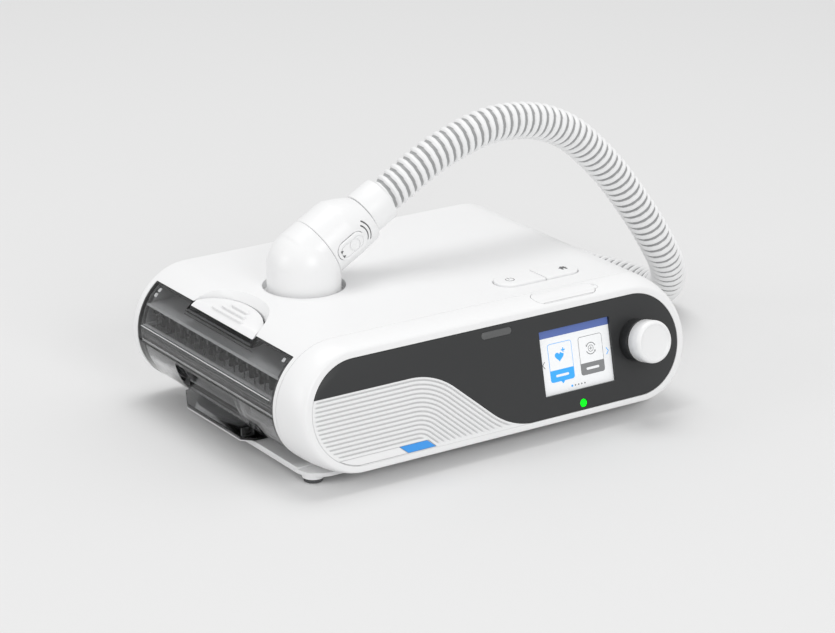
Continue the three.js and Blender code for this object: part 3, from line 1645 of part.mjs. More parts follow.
// Stand the assembly on its feet, with the middle of its footprint at the origin
const knobFace = knobRadius - knobEdge;
const frontY =
  (knobV - knobFace) * Math.sin(frontLean) - knobTop * Math.cos(frontLean);
parts.position.set(0, -(frontY + bodyBackY) / 2, -standZ);

export default parts;
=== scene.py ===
"""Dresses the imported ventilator: smooth mouldings, smoked chamber, ribbed hose, display and finishes.

Every shape is drawn in millimetres about the centre of the front panel, as the part's source draws it,
and is brought into the frame's metres when its object is made.
"""

import json
import logging
from dataclasses import dataclass, field
from enum import Enum
from math import cos, hypot, pi, radians, sin, sqrt, tan
from typing import Iterable, Protocol, Sequence

import bmesh
import bpy
from bmesh.types import BMesh
from bpy.types import ID, Material, Mesh, Node, NodeSocket, NodeTree, Object
from mathutils import Matrix, Vector

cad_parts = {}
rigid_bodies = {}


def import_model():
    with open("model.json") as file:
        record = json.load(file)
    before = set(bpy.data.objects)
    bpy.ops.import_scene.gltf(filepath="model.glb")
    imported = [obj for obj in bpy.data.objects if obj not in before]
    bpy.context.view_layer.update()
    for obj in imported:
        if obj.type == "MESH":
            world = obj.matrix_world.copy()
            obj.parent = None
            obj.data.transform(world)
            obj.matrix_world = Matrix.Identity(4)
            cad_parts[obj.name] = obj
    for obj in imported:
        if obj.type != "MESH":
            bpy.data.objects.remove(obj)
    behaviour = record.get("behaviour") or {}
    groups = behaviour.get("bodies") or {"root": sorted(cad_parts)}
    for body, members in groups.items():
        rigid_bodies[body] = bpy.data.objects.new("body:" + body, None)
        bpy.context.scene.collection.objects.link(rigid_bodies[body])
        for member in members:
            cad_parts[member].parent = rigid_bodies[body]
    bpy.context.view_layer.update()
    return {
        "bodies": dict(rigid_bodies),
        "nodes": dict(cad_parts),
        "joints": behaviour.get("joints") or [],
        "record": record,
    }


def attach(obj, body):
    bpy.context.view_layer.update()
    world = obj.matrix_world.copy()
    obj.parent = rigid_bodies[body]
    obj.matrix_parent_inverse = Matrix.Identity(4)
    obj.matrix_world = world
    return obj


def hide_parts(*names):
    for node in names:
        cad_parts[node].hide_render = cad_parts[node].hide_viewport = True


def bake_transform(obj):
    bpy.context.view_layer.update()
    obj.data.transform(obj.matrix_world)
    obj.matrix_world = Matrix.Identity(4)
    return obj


log = logging.getLogger("ventilator")

Point = tuple[float, float]
Place = tuple[float, float, float]
Extent = tuple[float, float, float, float]
Colour = tuple[float, float, float]


def standing(lean: float) -> Matrix:
    """A frame that looks forward from an upright plane, or from one that leans back by an angle."""
    return Matrix(
        (
            (1.0, 0.0, 0.0, 0.0),
            (0.0, sin(lean), -cos(lean), 0.0),
            (0.0, cos(lean), sin(lean), 0.0),
            (0.0, 0.0, 0.0, 1.0),
        )
    )


MM = 0.001
MIDDLE_Y = 97.5085
FLOOR_Z = -50.0
LEAN = radians(12.68)
GAP = 0.3
WALL = 2.5
PAST = 2.0
PORT = (-74.0, 125.0)
OUTLET_Z = 56.0
OUTLET_TURN = radians(60.0)
FAR = 160.0
DEEP = 230.0
ABOVE = 50.0

TO_FRAME = Matrix.Scale(MM, 4) @ Matrix.Translation((0.0, -MIDDLE_Y, -FLOOR_Z))
FLAT = Matrix.Identity(4)
PANEL = standing(LEAN)
UPRIGHT = standing(0.0)
OUTLET = Matrix.Translation((*PORT, OUTLET_Z)) @ Matrix.Rotation(OUTLET_TURN, 4, "Y")
OUTLET_SIDE = OUTLET @ UPRIGHT


class Body(Enum):
    """The moving bodies that carry pieces made here."""

    HOUSING = "housing"
    KNOB = "knob"
    POWER = "power_button"
    HOME = "home_button"
    DOOR = "card_door"
    CHAMBER = "chamber"
    LATCH = "latch"
    ELBOW = "elbow"
    RELEASE = "elbow_button"
    FILTER = "filter_cover"


# Shader nodes


def feed(tree: NodeTree, socket: NodeSocket, value: object) -> None:
    """Links a socket to an input, or sets the input where the value is a plain one."""
    if isinstance(value, NodeSocket):
        tree.links.new(value, socket)
    else:
        socket.default_value = value


def add_node(tree: NodeTree, kind: str, inputs: dict[str, object]) -> Node:
    """Adds a node and feeds its inputs.

    Args:
        tree: The node tree.
        kind: The node's type.
        inputs: A value or a socket for each named input.

    Returns:
        The new node.
    """
    node = tree.nodes.new(kind)
    for label, value in inputs.items():
        feed(tree, node.inputs[label], value)
    return node


def math_node(tree: NodeTree, operation: str, *values: object) -> NodeSocket:
    """Adds a Math node and returns its output.

    Args:
        tree: The node tree.
        operation: The node's operation.
        values: A number or a socket for each input.

    Returns:
        The node's output socket.
    """
    node = tree.nodes.new("ShaderNodeMath")
    node.operation = operation
    for socket, value in zip(node.inputs, values):
        feed(tree, socket, value)
    return node.outputs[0]


def object_place(tree: NodeTree) -> NodeSocket:
    """Adds the coordinates of the object itself."""
    return tree.nodes.new("ShaderNodeTexCoord").outputs["Object"]


def scaled_colour(tree: NodeTree, colour: Colour, tone: NodeSocket) -> NodeSocket:
    """Multiplies a colour by a tone that changes over the surface."""
    node = tree.nodes.new("ShaderNodeVectorMath")
    node.operation = "SCALE"
    feed(tree, node.inputs[0], colour)
    feed(tree, node.inputs["Scale"], tone)
    return node.outputs[0]


def blended_colour(tree: NodeTree, mask: NodeSocket, first: object, second: object) -> NodeSocket:
    """Mixes two colours, each a socket or a value, by a mask."""
    node = tree.nodes.new("ShaderNodeMix")
    node.data_type = "RGBA"
    feed(tree, node.inputs["Factor"], mask)
    for socket, value in zip(node.inputs[6:8], (first, second)):
        feed(tree, socket, (*value, 1.0) if isinstance(value, tuple) else value)
    return node.outputs[2]


def bump_from(tree: NodeTree, height: NodeSocket, strength: float, depth: float) -> NodeSocket:
    """Turns a height into a normal; depth is in metres."""
    inputs = {"Strength": strength, "Distance": depth, "Height": height}
    return add_node(tree, "ShaderNodeBump", inputs).outputs["Normal"]


# Shader groups


def shader_group(name: str, inputs: dict[str, float], outputs: Iterable[str]) -> tuple[NodeTree, Node, Node]:
    """Starts a shared group of shader nodes.

    Args:
        name: The group's name.
        inputs: Each input's name and value.
        outputs: The names of the value outputs.

    Returns:
        The new node tree, its input node and its output node.
    """
    tree = bpy.data.node_groups.new(name, "ShaderNodeTree")
    for label, value in inputs.items():
        socket = tree.interface.new_socket(label, in_out="INPUT", socket_type="NodeSocketFloat")
        socket.default_value = value
    for label in outputs:
        tree.interface.new_socket(label, in_out="OUTPUT", socket_type="NodeSocketFloat")
    return tree, tree.nodes.new("NodeGroupInput"), tree.nodes.new("NodeGroupOutput")


def moulded_grain(name: str) -> NodeTree:
    """Builds the fine spark-eroded grain and faint flow tone of moulded plastic."""
    inputs = {
        "Grain Scale": 1400.0,
        "Flow Scale": 9.0,
        "Roughness": 0.4,
        "Roughness Spread": 0.08,
        "Tone Spread": 0.03,
    }
    tree, start, end = shader_group(name, inputs, ("Tone", "Roughness", "Height"))
    given = start.outputs
    place = object_place(tree)
    grain, flow = (
        add_node(tree, "ShaderNodeTexNoise", {"Vector": place, "Scale": given[scale], "Detail": detail})
        for scale, detail in (("Grain Scale", 2.0), ("Flow Scale", 3.0))
    )
    swing = math_node(tree, "SUBTRACT", flow.outputs["Fac"], 0.5)
    tone = math_node(tree, "MULTIPLY", swing, given["Tone Spread"])
    mixed = math_node(tree, "ADD", swing, math_node(tree, "SUBTRACT", grain.outputs["Fac"], 0.5))
    rough = math_node(tree, "MULTIPLY_ADD", mixed, given["Roughness Spread"], given["Roughness"])
    feed(tree, end.inputs["Tone"], math_node(tree, "ADD", tone, 1.0))
    feed(tree, end.inputs["Roughness"], rough)
    feed(tree, end.inputs["Height"], grain.outputs["Fac"])
    return tree


def polished_edge_sheen(name: str) -> NodeTree:
    """Builds a mask of the outer edges that hands and cloths polish, which the material lightens as a painted
    sheen.
    """
    tree, start, end = shader_group(name, {"Strength": 0.5}, ("Mask",))
    geometry = tree.nodes.new("ShaderNodeNewGeometry")
    sharp = math_node(tree, "SUBTRACT", geometry.outputs["Pointiness"], 0.52)
    raised = math_node(tree, "MULTIPLY", sharp, 8.0)
    raised.node.use_clamp = True
    feed(tree, end.inputs["Mask"], math_node(tree, "MULTIPLY", raised, start.outputs["Strength"]))
    return tree


def fine_dust(name: str) -> NodeTree:
    """Builds a mask of faint dust that settles on faces that look up."""
    tree, start, end = shader_group(name, {"Amount": 0.04, "Scale": 60.0}, ("Mask",))
    geometry = tree.nodes.new("ShaderNodeNewGeometry")
    split = add_node(tree, "ShaderNodeSeparateXYZ", {"Vector": geometry.outputs["Normal"]})
    up = math_node(tree, "MULTIPLY", split.outputs["Z"], 1.0)
    up.node.use_clamp = True
    inputs = {"Vector": object_place(tree), "Scale": start.outputs["Scale"], "Detail": 4.0}
    noise = add_node(tree, "ShaderNodeTexNoise", inputs)
    speck = math_node(tree, "MULTIPLY", up, noise.outputs["Fac"])
    feed(tree, end.inputs["Mask"], math_node(tree, "MULTIPLY", speck, start.outputs["Amount"]))
    return tree


GROUPS = {"moulded grain": moulded_grain, "handled edges": polished_edge_sheen, "fine dust": fine_dust}


def add_group(tree: NodeTree, name: str, values: dict[str, float]) -> Node:
    """Places a shared group in a material with its own values, and builds the group the first time."""
    node = tree.nodes.new("ShaderNodeGroup")
    node.node_tree = bpy.data.node_groups.get(name) or GROUPS[name](name)
    for label, value in values.items():
        feed(tree, node.inputs[label], value)
    return node


# Finishes


def new_material(name: str) -> tuple[Material, NodeTree]:
    """Makes a material with a Principled BSDF, and returns it with its node tree."""
    material = bpy.data.materials.new(name)
    material.use_nodes = True
    return material, material.node_tree


def dressed(material: Material, inputs: dict[str, object]) -> Material:
    """Feeds the inputs of a material's Principled BSDF and returns the material."""
    tree = material.node_tree
    for label, value in inputs.items():
        feed(tree, tree.nodes["Principled BSDF"].inputs[label], value)
    return material


class Finish(Protocol):
    """What every finish can do."""

    def build(self) -> Material:
        """Returns the finished material."""


@dataclass(frozen=True)
class GrainedFinish:
    """What the finishes with a moulded grain share."""

    name: str
    colour: Colour
    roughness: float = 0.42
    grain: float = 1500.0
    flow: float = 9.0
    spread: float = 0.08
    tone: float = 0.03
    relief: float = 0.12
    depth: float = 0.00004

    def grained(self) -> tuple[Material, NodeTree, NodeSocket]:
        """Makes the material with its grain, and returns it with its node tree and the grain's tone."""
        material, tree = new_material(self.name)
        values = {
            "Grain Scale": self.grain,
            "Flow Scale": self.flow,
            "Roughness": self.roughness,
            "Roughness Spread": self.spread,
            "Tone Spread": self.tone,
        }
        grain = add_group(tree, "moulded grain", values).outputs
        normal = bump_from(tree, grain["Height"], self.relief, self.depth)
        return dressed(material, {"Roughness": grain["Roughness"], "Normal": normal}), tree, grain["Tone"]


@dataclass(frozen=True)
class MouldedPlastic(GrainedFinish):
    """A moulded plastic with fine grain, faint flow tone, polished edges lightened by a painted sheen, and a
    trace of dust.
    """

    spread: float = 0.1
    polish_sheen: float = 0.5
    specular: float = 0.5
    dust: float = 0.03
    dust_scale: float = 70.0
    dust_colour: Colour = (0.62, 0.61, 0.59)

    def build(self) -> Material:
        """Returns the finished material."""
        material, tree, tone = self.grained()
        colour = scaled_colour(tree, self.colour, tone)
        # Painted sheen: the colour turns lighter on sharp outer edges, standing in for the gloss of polish.
        edges = add_group(tree, "handled edges", {"Strength": self.polish_sheen})
        polished_sheen = tuple(min(1.0, c * 1.04 + 0.004) for c in self.colour)
        colour = blended_colour(tree, edges.outputs["Mask"], colour, polished_sheen)
        dust = add_group(tree, "fine dust", {"Amount": self.dust, "Scale": self.dust_scale})
        colour = blended_colour(tree, dust.outputs["Mask"], colour, self.dust_colour)
        return dressed(material, {"Base Color": colour, "Specular IOR Level": self.specular})


@dataclass(frozen=True)
class GroovedPlastic(GrainedFinish):
    """The grooved field's white, darkened with depth under the panel's face by painted shade in the grooves.
    """

    relief: float = 0.08
    shade: float = 0.74
    face_mm: float = -0.15
    floor_mm: float = -0.95

    def build(self) -> Material:
        """Returns the finished material."""
        material, tree, tone = self.grained()
        normal = (PANEL @ Vector((0.0, 0.0, 1.0))).normalized()
        face = (TO_FRAME @ Vector((0.0, 0.0, 0.0))).dot(normal)
        along = tree.nodes.new("ShaderNodeVectorMath")
        along.operation = "DOT_PRODUCT"
        feed(tree, along.inputs[0], object_place(tree))
        feed(tree, along.inputs[1], normal)
        inputs = {
            "Value": along.outputs["Value"],
            "From Min": face + self.floor_mm * MM,
            "From Max": face + self.face_mm * MM,
            "To Min": self.shade,
        }
        # Painted shade: the colour darkens with depth below the panel's face, down to the groove floor.
        ramp = add_node(tree, "ShaderNodeMapRange", inputs)
        ramp.interpolation_type = "SMOOTHSTEP"
        tone = math_node(tree, "MULTIPLY", ramp.outputs["Result"], tone)
        return dressed(material, {"Base Color": scaled_colour(tree, self.colour, tone)})


@dataclass(frozen=True)
class SmokedClear(GrainedFinish):
    """A smoked clear plastic that bends what lies behind it and lets light into the room inside."""

    roughness: float = 0.05
    grain: float = 500.0
    flow: float = 14.0
    spread: float = 0.03
    tone: float = 0.1
    relief: float = 0.02
    depth: float = 0.00005
    shadow: float = 0.14
    index: float = 1.45

    def build(self) -> Material:
        """Returns the finished material."""
        material, tree, tone = self.grained()
        path = tree.nodes.new("ShaderNodeLightPath")
        solid = math_node(tree, "MULTIPLY_ADD", path.outputs["Is Shadow Ray"], self.shadow - 1.0, 1.0)
        colour = scaled_colour(tree, self.colour, tone)
        inputs = {"Base Color": colour, "Alpha": solid, "Transmission Weight": 1.0, "IOR": self.index}
        return dressed(material, inputs)


@dataclass(frozen=True)
class SoftRubber(GrainedFinish):
    """A matt rubber with a coarse, cloudy skin."""

    roughness: float = 0.75
    grain: float = 420.0
    flow: float = 30.0
    tone: float = 0.3
    relief: float = 0.35
    depth: float = 0.0001
    specular: float = 0.25
    dust: float = 0.25
    dust_scale: float = 240.0
    dust_colour: Colour = (0.5, 0.49, 0.47)

    def build(self) -> Material:
        """Returns the finished material."""
        material, tree, tone = self.grained()
        dust = add_group(tree, "fine dust", {"Amount": self.dust, "Scale": self.dust_scale})
        colour = scaled_colour(tree, self.colour, tone)
        colour = blended_colour(tree, dust.outputs["Mask"], colour, self.dust_colour)
        return dressed(material, {"Base Color": colour, "Specular IOR Level": self.specular})


@dataclass(frozen=True)
class HoseSkin(GrainedFinish):
    """The hose: white ribs over a thinner film, greyer both as film and as painted shade in the valleys, told
    apart by the tube's own rib attribute.
    """

    colour: Colour = (0.88, 0.882, 0.885)
    roughness: float = 0.38
    grain: float = 900.0
    tone: float = 0.06
    relief: float = 0.1
    depth: float = 0.00005
    film_and_shade: Colour = (0.33, 0.334, 0.338)
    film_and_shade_below: float = 0.02
    rib_above: float = 0.36

    def build(self) -> Material:
        """Returns the finished material."""
        material, tree, tone = self.grained()
        height = tree.nodes.new("ShaderNodeAttribute")
        height.attribute_name = "rib"
        inputs = {"Value": height.outputs["Fac"], "From Min": self.film_and_shade_below, "From Max": self.rib_above}
        ramp = add_node(tree, "ShaderNodeMapRange", inputs)
        ramp.interpolation_type = "SMOOTHSTEP"
        white = scaled_colour(tree, self.colour, tone)
        # Painted shade: the valleys take the darker film colour, which also stands in for the shade between
        # ribs.
        colour = blended_colour(tree, ramp.outputs["Result"], self.film_and_shade, white)
        return dressed(material, {"Base Color": colour})


@dataclass(frozen=True)
class BrushedMetal:
    """A plain metal with fine drawn lines."""

    name: str
    colour: Colour
    roughness: float = 0.32
    line_scale: Place = (60.0, 1800.0, 1800.0)
    relief: float = 0.15
    depth: float = 0.00003

    def build(self) -> Material:
        """Returns the finished material."""
        material, tree = new_material(self.name)
        inputs = {"Vector": object_place(tree), "Scale": self.line_scale}
        stretch = add_node(tree, "ShaderNodeMapping", inputs)
        inputs = {"Vector": stretch.outputs["Vector"], "Scale": 1.0, "Detail": 3.0}
        lines = add_node(tree, "ShaderNodeTexNoise", inputs).outputs["Fac"]
        tone = math_node(tree, "MULTIPLY_ADD", lines, 0.24, 0.88)
        inputs = {
            "Base Color": scaled_colour(tree, self.colour, tone),
            "Roughness": math_node(tree, "MULTIPLY_ADD", lines, 0.2, self.roughness - 0.1),
            "Normal": bump_from(tree, lines, self.relief, self.depth),
            "Metallic": 1.0,
        }
        return dressed(material, inputs)


@dataclass(frozen=True)
class CircuitBoard:
    """A green board with a solder-mask weave and a faint grid of tracks."""

    name: str
    colour: Colour = (0.015, 0.13, 0.05)
    second: Colour = (0.02, 0.16, 0.065)
    track: Colour = (0.05, 0.24, 0.1)
    relief: float = 0.3
    depth: float = 0.00005

    def build(self) -> Material:
        """Returns the finished material."""
        material, tree = new_material(self.name)
        inputs = {
            "Vector": object_place(tree),
            "Scale": 120.0,
            "Mortar Size": 0.05,
            "Color1": (*self.colour, 1.0),
            "Color2": (*self.second, 1.0),
            "Mortar": (*self.track, 1.0),
        }
        bricks = add_node(tree, "ShaderNodeTexBrick", inputs).outputs
        normal = bump_from(tree, bricks["Fac"], self.relief, self.depth)
        return dressed(material, {"Base Color": bricks["Color"], "Normal": normal, "Roughness": 0.35})


@dataclass(frozen=True)
class LitInk:
    """A display or lamp colour that gives off its own light."""

    name: str
    colour: Colour
    glow: float = 0.5
    roughness: float = 0.3
    cell: float = 5200.0

    def build(self) -> Material:
        """Returns the finished material."""
        material, tree = new_material(self.name)
        cells = {
            "Vector": object_place(tree),
            "Scale": self.cell,
            "Color1": (*self.colour, 1.0),
            "Color2": (*(c * 0.94 for c in self.colour), 1.0),
        }
        colour = add_node(tree, "ShaderNodeTexChecker", cells).outputs["Color"]
        inputs = {
            "Base Color": colour,
            "Emission Color": colour,
            "Emission Strength": self.glow,
            "Roughness": self.roughness,
            "Specular IOR Level": 0.2,
        }
        return dressed(material, inputs)


@dataclass(frozen=True)
class FilterFelt:
    """A pressed fibre pad."""

    name: str
    colour: Colour = (0.62, 0.63, 0.64)
    scale: float = 900.0
    relief: float = 0.6
    depth: float = 0.0003

    def build(self) -> Material:
        """Returns the finished material."""
        material, tree = new_material(self.name)
        inputs = {"Vector": object_place(tree), "Scale": self.scale}
        fibre = add_node(tree, "ShaderNodeTexVoronoi", inputs).outputs["Distance"]
        colour = scaled_colour(tree, self.colour, math_node(tree, "MULTIPLY_ADD", fibre, 0.5, 0.75))
        normal = bump_from(tree, fibre, self.relief, self.depth)
        return dressed(material, {"Base Color": colour, "Normal": normal, "Roughness": 0.95})


def built(finish: Finish) -> Material:
    """A field that holds the material of a finish, built with the set."""
    return field(default_factory=finish.build)


HOUSING_WHITE = (0.87, 0.872, 0.875)
FITTING_WHITE = (0.88, 0.882, 0.885)


@dataclass
class Finishes:
    """Every material of the ventilator, made once."""

    housing: Material = built(MouldedPlastic("housing white", HOUSING_WHITE, 0.38))
    panel: Material = built(GroovedPlastic("panel white", (0.86, 0.862, 0.865)))
    knob: Material = built(MouldedPlastic("knob white", HOUSING_WHITE, 0.3, relief=0.06))
    elbow: Material = built(MouldedPlastic("elbow white", FITTING_WHITE, 0.32, relief=0.08))
    cuff: Material = built(MouldedPlastic("cuff white", FITTING_WHITE, 0.4, relief=0.1))
    window: Material = built(
        MouldedPlastic(
            "window black", (0.036, 0.037, 0.038), 0.34, relief=0.03, tone=0.05, specular=0.3, dust=0.004
        )
    )
    # Also paints shade: the dark ring in the elbow's seam.
    black: Material = built(MouldedPlastic("black plastic and seam shade", (0.016, 0.017, 0.018), 0.4, dust=0.01))
    sensor: Material = built(MouldedPlastic("sensor grey", (0.10, 0.102, 0.103), 0.3, dust=0.0))
    # Also paints shade: the dark sheet under the button bar's gap.
    icon: Material = built(MouldedPlastic("icon grey and shade", (0.12, 0.122, 0.125), 0.5, dust=0.0))
    label: Material = built(MouldedPlastic("label white", HOUSING_WHITE, 0.35, relief=0.03))
    tab: Material = built(MouldedPlastic("accent blue", (0.045, 0.33, 0.86), 0.35, relief=0.03))
    smoke: Material = built(SmokedClear("chamber smoke", (0.7, 0.705, 0.71), shadow=0.07, index=1.32))
    tub: Material = built(SmokedClear("tub smoke", (0.66, 0.665, 0.67)))
    ledge: Material = built(MouldedPlastic("ledge grey", (0.4, 0.403, 0.406), 0.16, dust=0.0))
    # Also paints shade: the sheet behind the baffles and the strips under the latch tab.
    fin_and_shade: Material = built(MouldedPlastic("fin grey and shade", (0.03, 0.031, 0.032), 0.25, dust=0.0))
    clear_edge: Material = built(MouldedPlastic("bright edge", (0.86, 0.865, 0.87), 0.15, dust=0.0))
    seal: Material = built(SoftRubber("seal rubber", (0.35, 0.355, 0.36), 0.55))
    foot: Material = built(SoftRubber("foot rubber", (0.085, 0.087, 0.09)))
    metal: Material = built(BrushedMetal("bright metal", (0.62, 0.63, 0.64)))
    board: Material = built(CircuitBoard("circuit board"))
    felt: Material = built(FilterFelt("filter felt"))
    hose: Material = built(HoseSkin("hose film"))
    lamp: Material = built(LitInk("lamp green", (0.0, 0.9, 0.01), 1.0, cell=900.0))
    page: Material = built(LitInk("display page", (0.80, 0.81, 0.82), 0.28))
    title: Material = built(LitInk("display title", (0.10, 0.15, 0.38), 0.28))
    ink_blue: Material = built(LitInk("display blue", (0.055, 0.38, 0.86), 0.3))
    ink_grey: Material = built(LitInk("display grey", (0.24, 0.245, 0.25), 0.15))


# Outlines


def arc_points(x: float, y: float, radius: float, start: float, end: float, steps: int) -> list[Point]:
    """Points on an arc, from one angle to another, both in degrees."""
    turns = (radians(start + (end - start) * i / steps) for i in range(steps + 1))
    return [(x + radius * cos(t), y + radius * sin(t)) for t in turns]


def stadium(
    half_width: float, half_height: float, arc: int = 48, x: float = 0.0, y: float = 0.0
) -> list[Point]:
    """A bar with half-round ends."""
    reach = half_width - half_height
    return [
        *arc_points(x + reach, y, half_height, -90, 90, arc),
        *arc_points(x - reach, y, half_height, 90, 270, arc),
    ]


def rounded(
    left: float, low: float, right: float, high: float, radius: float, arc: int = 10
) -> list[Point]:
    """A rectangle with rounded corners."""
    return [
        *arc_points(right - radius, low + radius, radius, -90, 0, arc),
        *arc_points(right - radius, high - radius, radius, 0, 90, arc),
        *arc_points(left + radius, high - radius, radius, 90, 180, arc),
        *arc_points(left + radius, low + radius, radius, 180, 270, arc),
    ]


def disc(x: float, y: float, radius: float, steps: int = 48) -> list[Point]:
    """A full circle."""
    return arc_points(x, y, radius, 0, 360 * (steps - 1) / steps, steps - 1)


def stroke(points: Sequence[Point], width: float) -> list[Point]:
    """The outline of a line of even width through points."""
    sides: tuple[list[Point], list[Point]] = ([], [])
    for i, (x, y) in enumerate(points):
        a = Vector(points[max(i - 1, 0)])
        b = Vector(points[min(i + 1, len(points) - 1)])
        along = (b - a).normalized()
        square = Vector((-along.y, along.x)) * width / 2
        sides[0].append((x + square.x, y + square.y))
        sides[1].append((x - square.x, y - square.y))
    return [*sides[1], *sides[0][::-1]]


# Objects and shapes


def as_mesh(name: str, shape: BMesh) -> Mesh:
    """Turns a shape, which is used up, into a mesh."""
    mesh = bpy.data.meshes.new(name)
    shape.to_mesh(mesh)
    shape.free()
    return mesh


def placed(name: str, data: ID) -> Object:
    """Makes an object of its data and links it to the scene."""
    made = bpy.data.objects.new(name, data)
    bpy.context.scene.collection.objects.link(made)
    return made


def plate(
    outline: Sequence[Point],
    low: float,
    high: float,
    frame: Matrix = FLAT,
    bevel: float = 0.0,
    segments: int = 3,
) -> BMesh:
    """Extrudes an outline between two heights of a frame.

    Args:
        outline: The outline's points.
        low: The lower height.
        high: The upper height.
        frame: The frame that the outline lies in.
        bevel: The rounding of the upper rim.
        segments: The rounding's segments.

    Returns:
        The closed shape.
    """
    shape = bmesh.new()
    face = shape.faces.new([shape.verts.new((x, y, low)) for x, y in outline])
    made = bmesh.ops.extrude_face_region(shape, geom=[face])["geom"]
    moved = [v for v in made if isinstance(v, bmesh.types.BMVert)]
    bmesh.ops.translate(shape, verts=moved, vec=(0.0, 0.0, high - low))
    bmesh.ops.recalc_face_normals(shape, faces=shape.faces)
    if bevel:
        middle = (low + high) / 2
        rims = [e for e in shape.edges if all(v.co.z > middle for v in e.verts)]
        bmesh.ops.bevel(
            shape, geom=rims, offset=bevel, offset_type="OFFSET", segments=segments, profile=0.5,
            affect="EDGES", clamp_overlap=True, material=-1,
        )
    bmesh.ops.transform(shape, matrix=frame, verts=shape.verts)
    return shape


def box(low: Sequence[float], high: Sequence[float]) -> BMesh:
    """A block between two corners."""
    shape = bmesh.new()
    size = [b - a for a, b in zip(low, high)]
    middle = [(a + b) / 2 for a, b in zip(low, high)]
    bmesh.ops.create_cube(
        shape, size=1.0, matrix=Matrix.Translation(middle) @ Matrix.Diagonal((*size, 1.0))
    )
    return shape


def turned(profile: Sequence[Point], frame: Matrix = FLAT, steps: int = 64) -> BMesh:
    """Spins a profile of radius and height about the frame's upright axis.

    Args:
        profile: The points, which start and end on the axis or close on themselves.
        frame: The frame whose Z axis the shape turns about.
        steps: The number of sides.

    Returns:
        The closed shape.
    """
    shape = bmesh.new()
    verts = [shape.verts.new((radius, 0.0, height)) for radius, height in profile]
    edges = [shape.edges.new(pair) for pair in zip(verts, verts[1:])]
    if profile[0][0] > 0:
        edges.append(shape.edges.new((verts[-1], verts[0])))
    bmesh.ops.spin(
        shape, geom=[*verts, *edges], cent=(0, 0, 0), axis=(0, 0, 1), dvec=(0, 0, 0),
        angle=2 * pi, steps=steps, use_merge=True, use_duplicate=False,
    )
    bmesh.ops.remove_doubles(shape, verts=shape.verts, dist=1e-4)
    bmesh.ops.dissolve_degenerate(shape, edges=shape.edges, dist=1e-5)
    bmesh.ops.recalc_face_normals(shape, faces=shape.faces)
    bmesh.ops.transform(shape, matrix=frame, verts=shape.verts)
    return shape


def loft(rings: Sequence[Sequence[Vector]], frame: Matrix = FLAT) -> BMesh:
    """Skins rings of the same number of points and closes both ends."""
    shape = bmesh.new()
    loops = []
    for ring in rings:
        verts = [shape.verts.new(p) for p in ring]
        loops.append((verts, [shape.edges.new((a, b)) for a, b in zip(verts, verts[1:] + verts[:1])]))
    for (_, first), (_, second) in zip(loops, loops[1:]):
        bmesh.ops.bridge_loops(shape, edges=first + second)
    for verts, _ in (loops[0], loops[-1]):
        shape.faces.new(verts)
    bmesh.ops.recalc_face_normals(shape, faces=shape.faces)
    bmesh.ops.transform(shape, matrix=frame, verts=shape.verts)
    return shape


def merged(*shapes: BMesh) -> BMesh:
    """Puts shapes together in one mesh, as they are."""
    whole = shapes[0]
    for shape in shapes[1:]:
        mesh = as_mesh("part", shape)
        whole.from_mesh(mesh)
        bpy.data.meshes.remove(mesh)
    return whole


def carved(
    body: BMesh,
    cut: Sequence[BMesh] = (),
    join: Sequence[BMesh] = (),
    common: Sequence[BMesh] = (),
    remesh: float = 0.0,
    relax: int = 0,
) -> BMesh:
    """Joins, trims and cuts a shape with others.

    Args:
        body: The shape to work on.
        cut: The shapes to take away, last.
        join: The shapes to add, first.
        common: The shapes that bound the body, next.
        remesh: The cell size of an even remesh after all that, or 0.
        relax: The smoothing steps after the remesh.

    Returns:
        The new shape.
    """
    objects = []

    def temporary(shape: BMesh) -> Object:
        """Makes an object for the modifiers to read."""
        objects.append(placed("work", as_mesh("work", shape)))
        return objects[-1]

    main_object = temporary(body)
    for operation, shapes in (("UNION", join), ("INTERSECT", common), ("DIFFERENCE", cut)):
        for shape in shapes:
            modifier = main_object.modifiers.new(operation, "BOOLEAN")
            modifier.operation = operation
            modifier.solver = "EXACT"
            modifier.object = temporary(shape)
    if remesh:
        modifier = main_object.modifiers.new("even", "REMESH")
        modifier.mode = "VOXEL"
        modifier.voxel_size = remesh
        modifier.adaptivity = 0.0
    if relax:
        modifier = main_object.modifiers.new("relax", "SMOOTH")
        modifier.iterations = relax
        modifier.factor = 0.5
    evaluated = main_object.evaluated_get(bpy.context.evaluated_depsgraph_get())
    mesh = bpy.data.meshes.new_from_object(evaluated)
    result = bmesh.new()
    result.from_mesh(mesh)
    bpy.data.meshes.remove(mesh)
    for made in objects:
        data = made.data
        bpy.data.objects.remove(made)
        bpy.data.meshes.remove(data)
    bmesh.ops.remove_doubles(result, verts=result.verts, dist=1e-4)
    bmesh.ops.dissolve_degenerate(result, edges=result.edges, dist=1e-5)
    return result


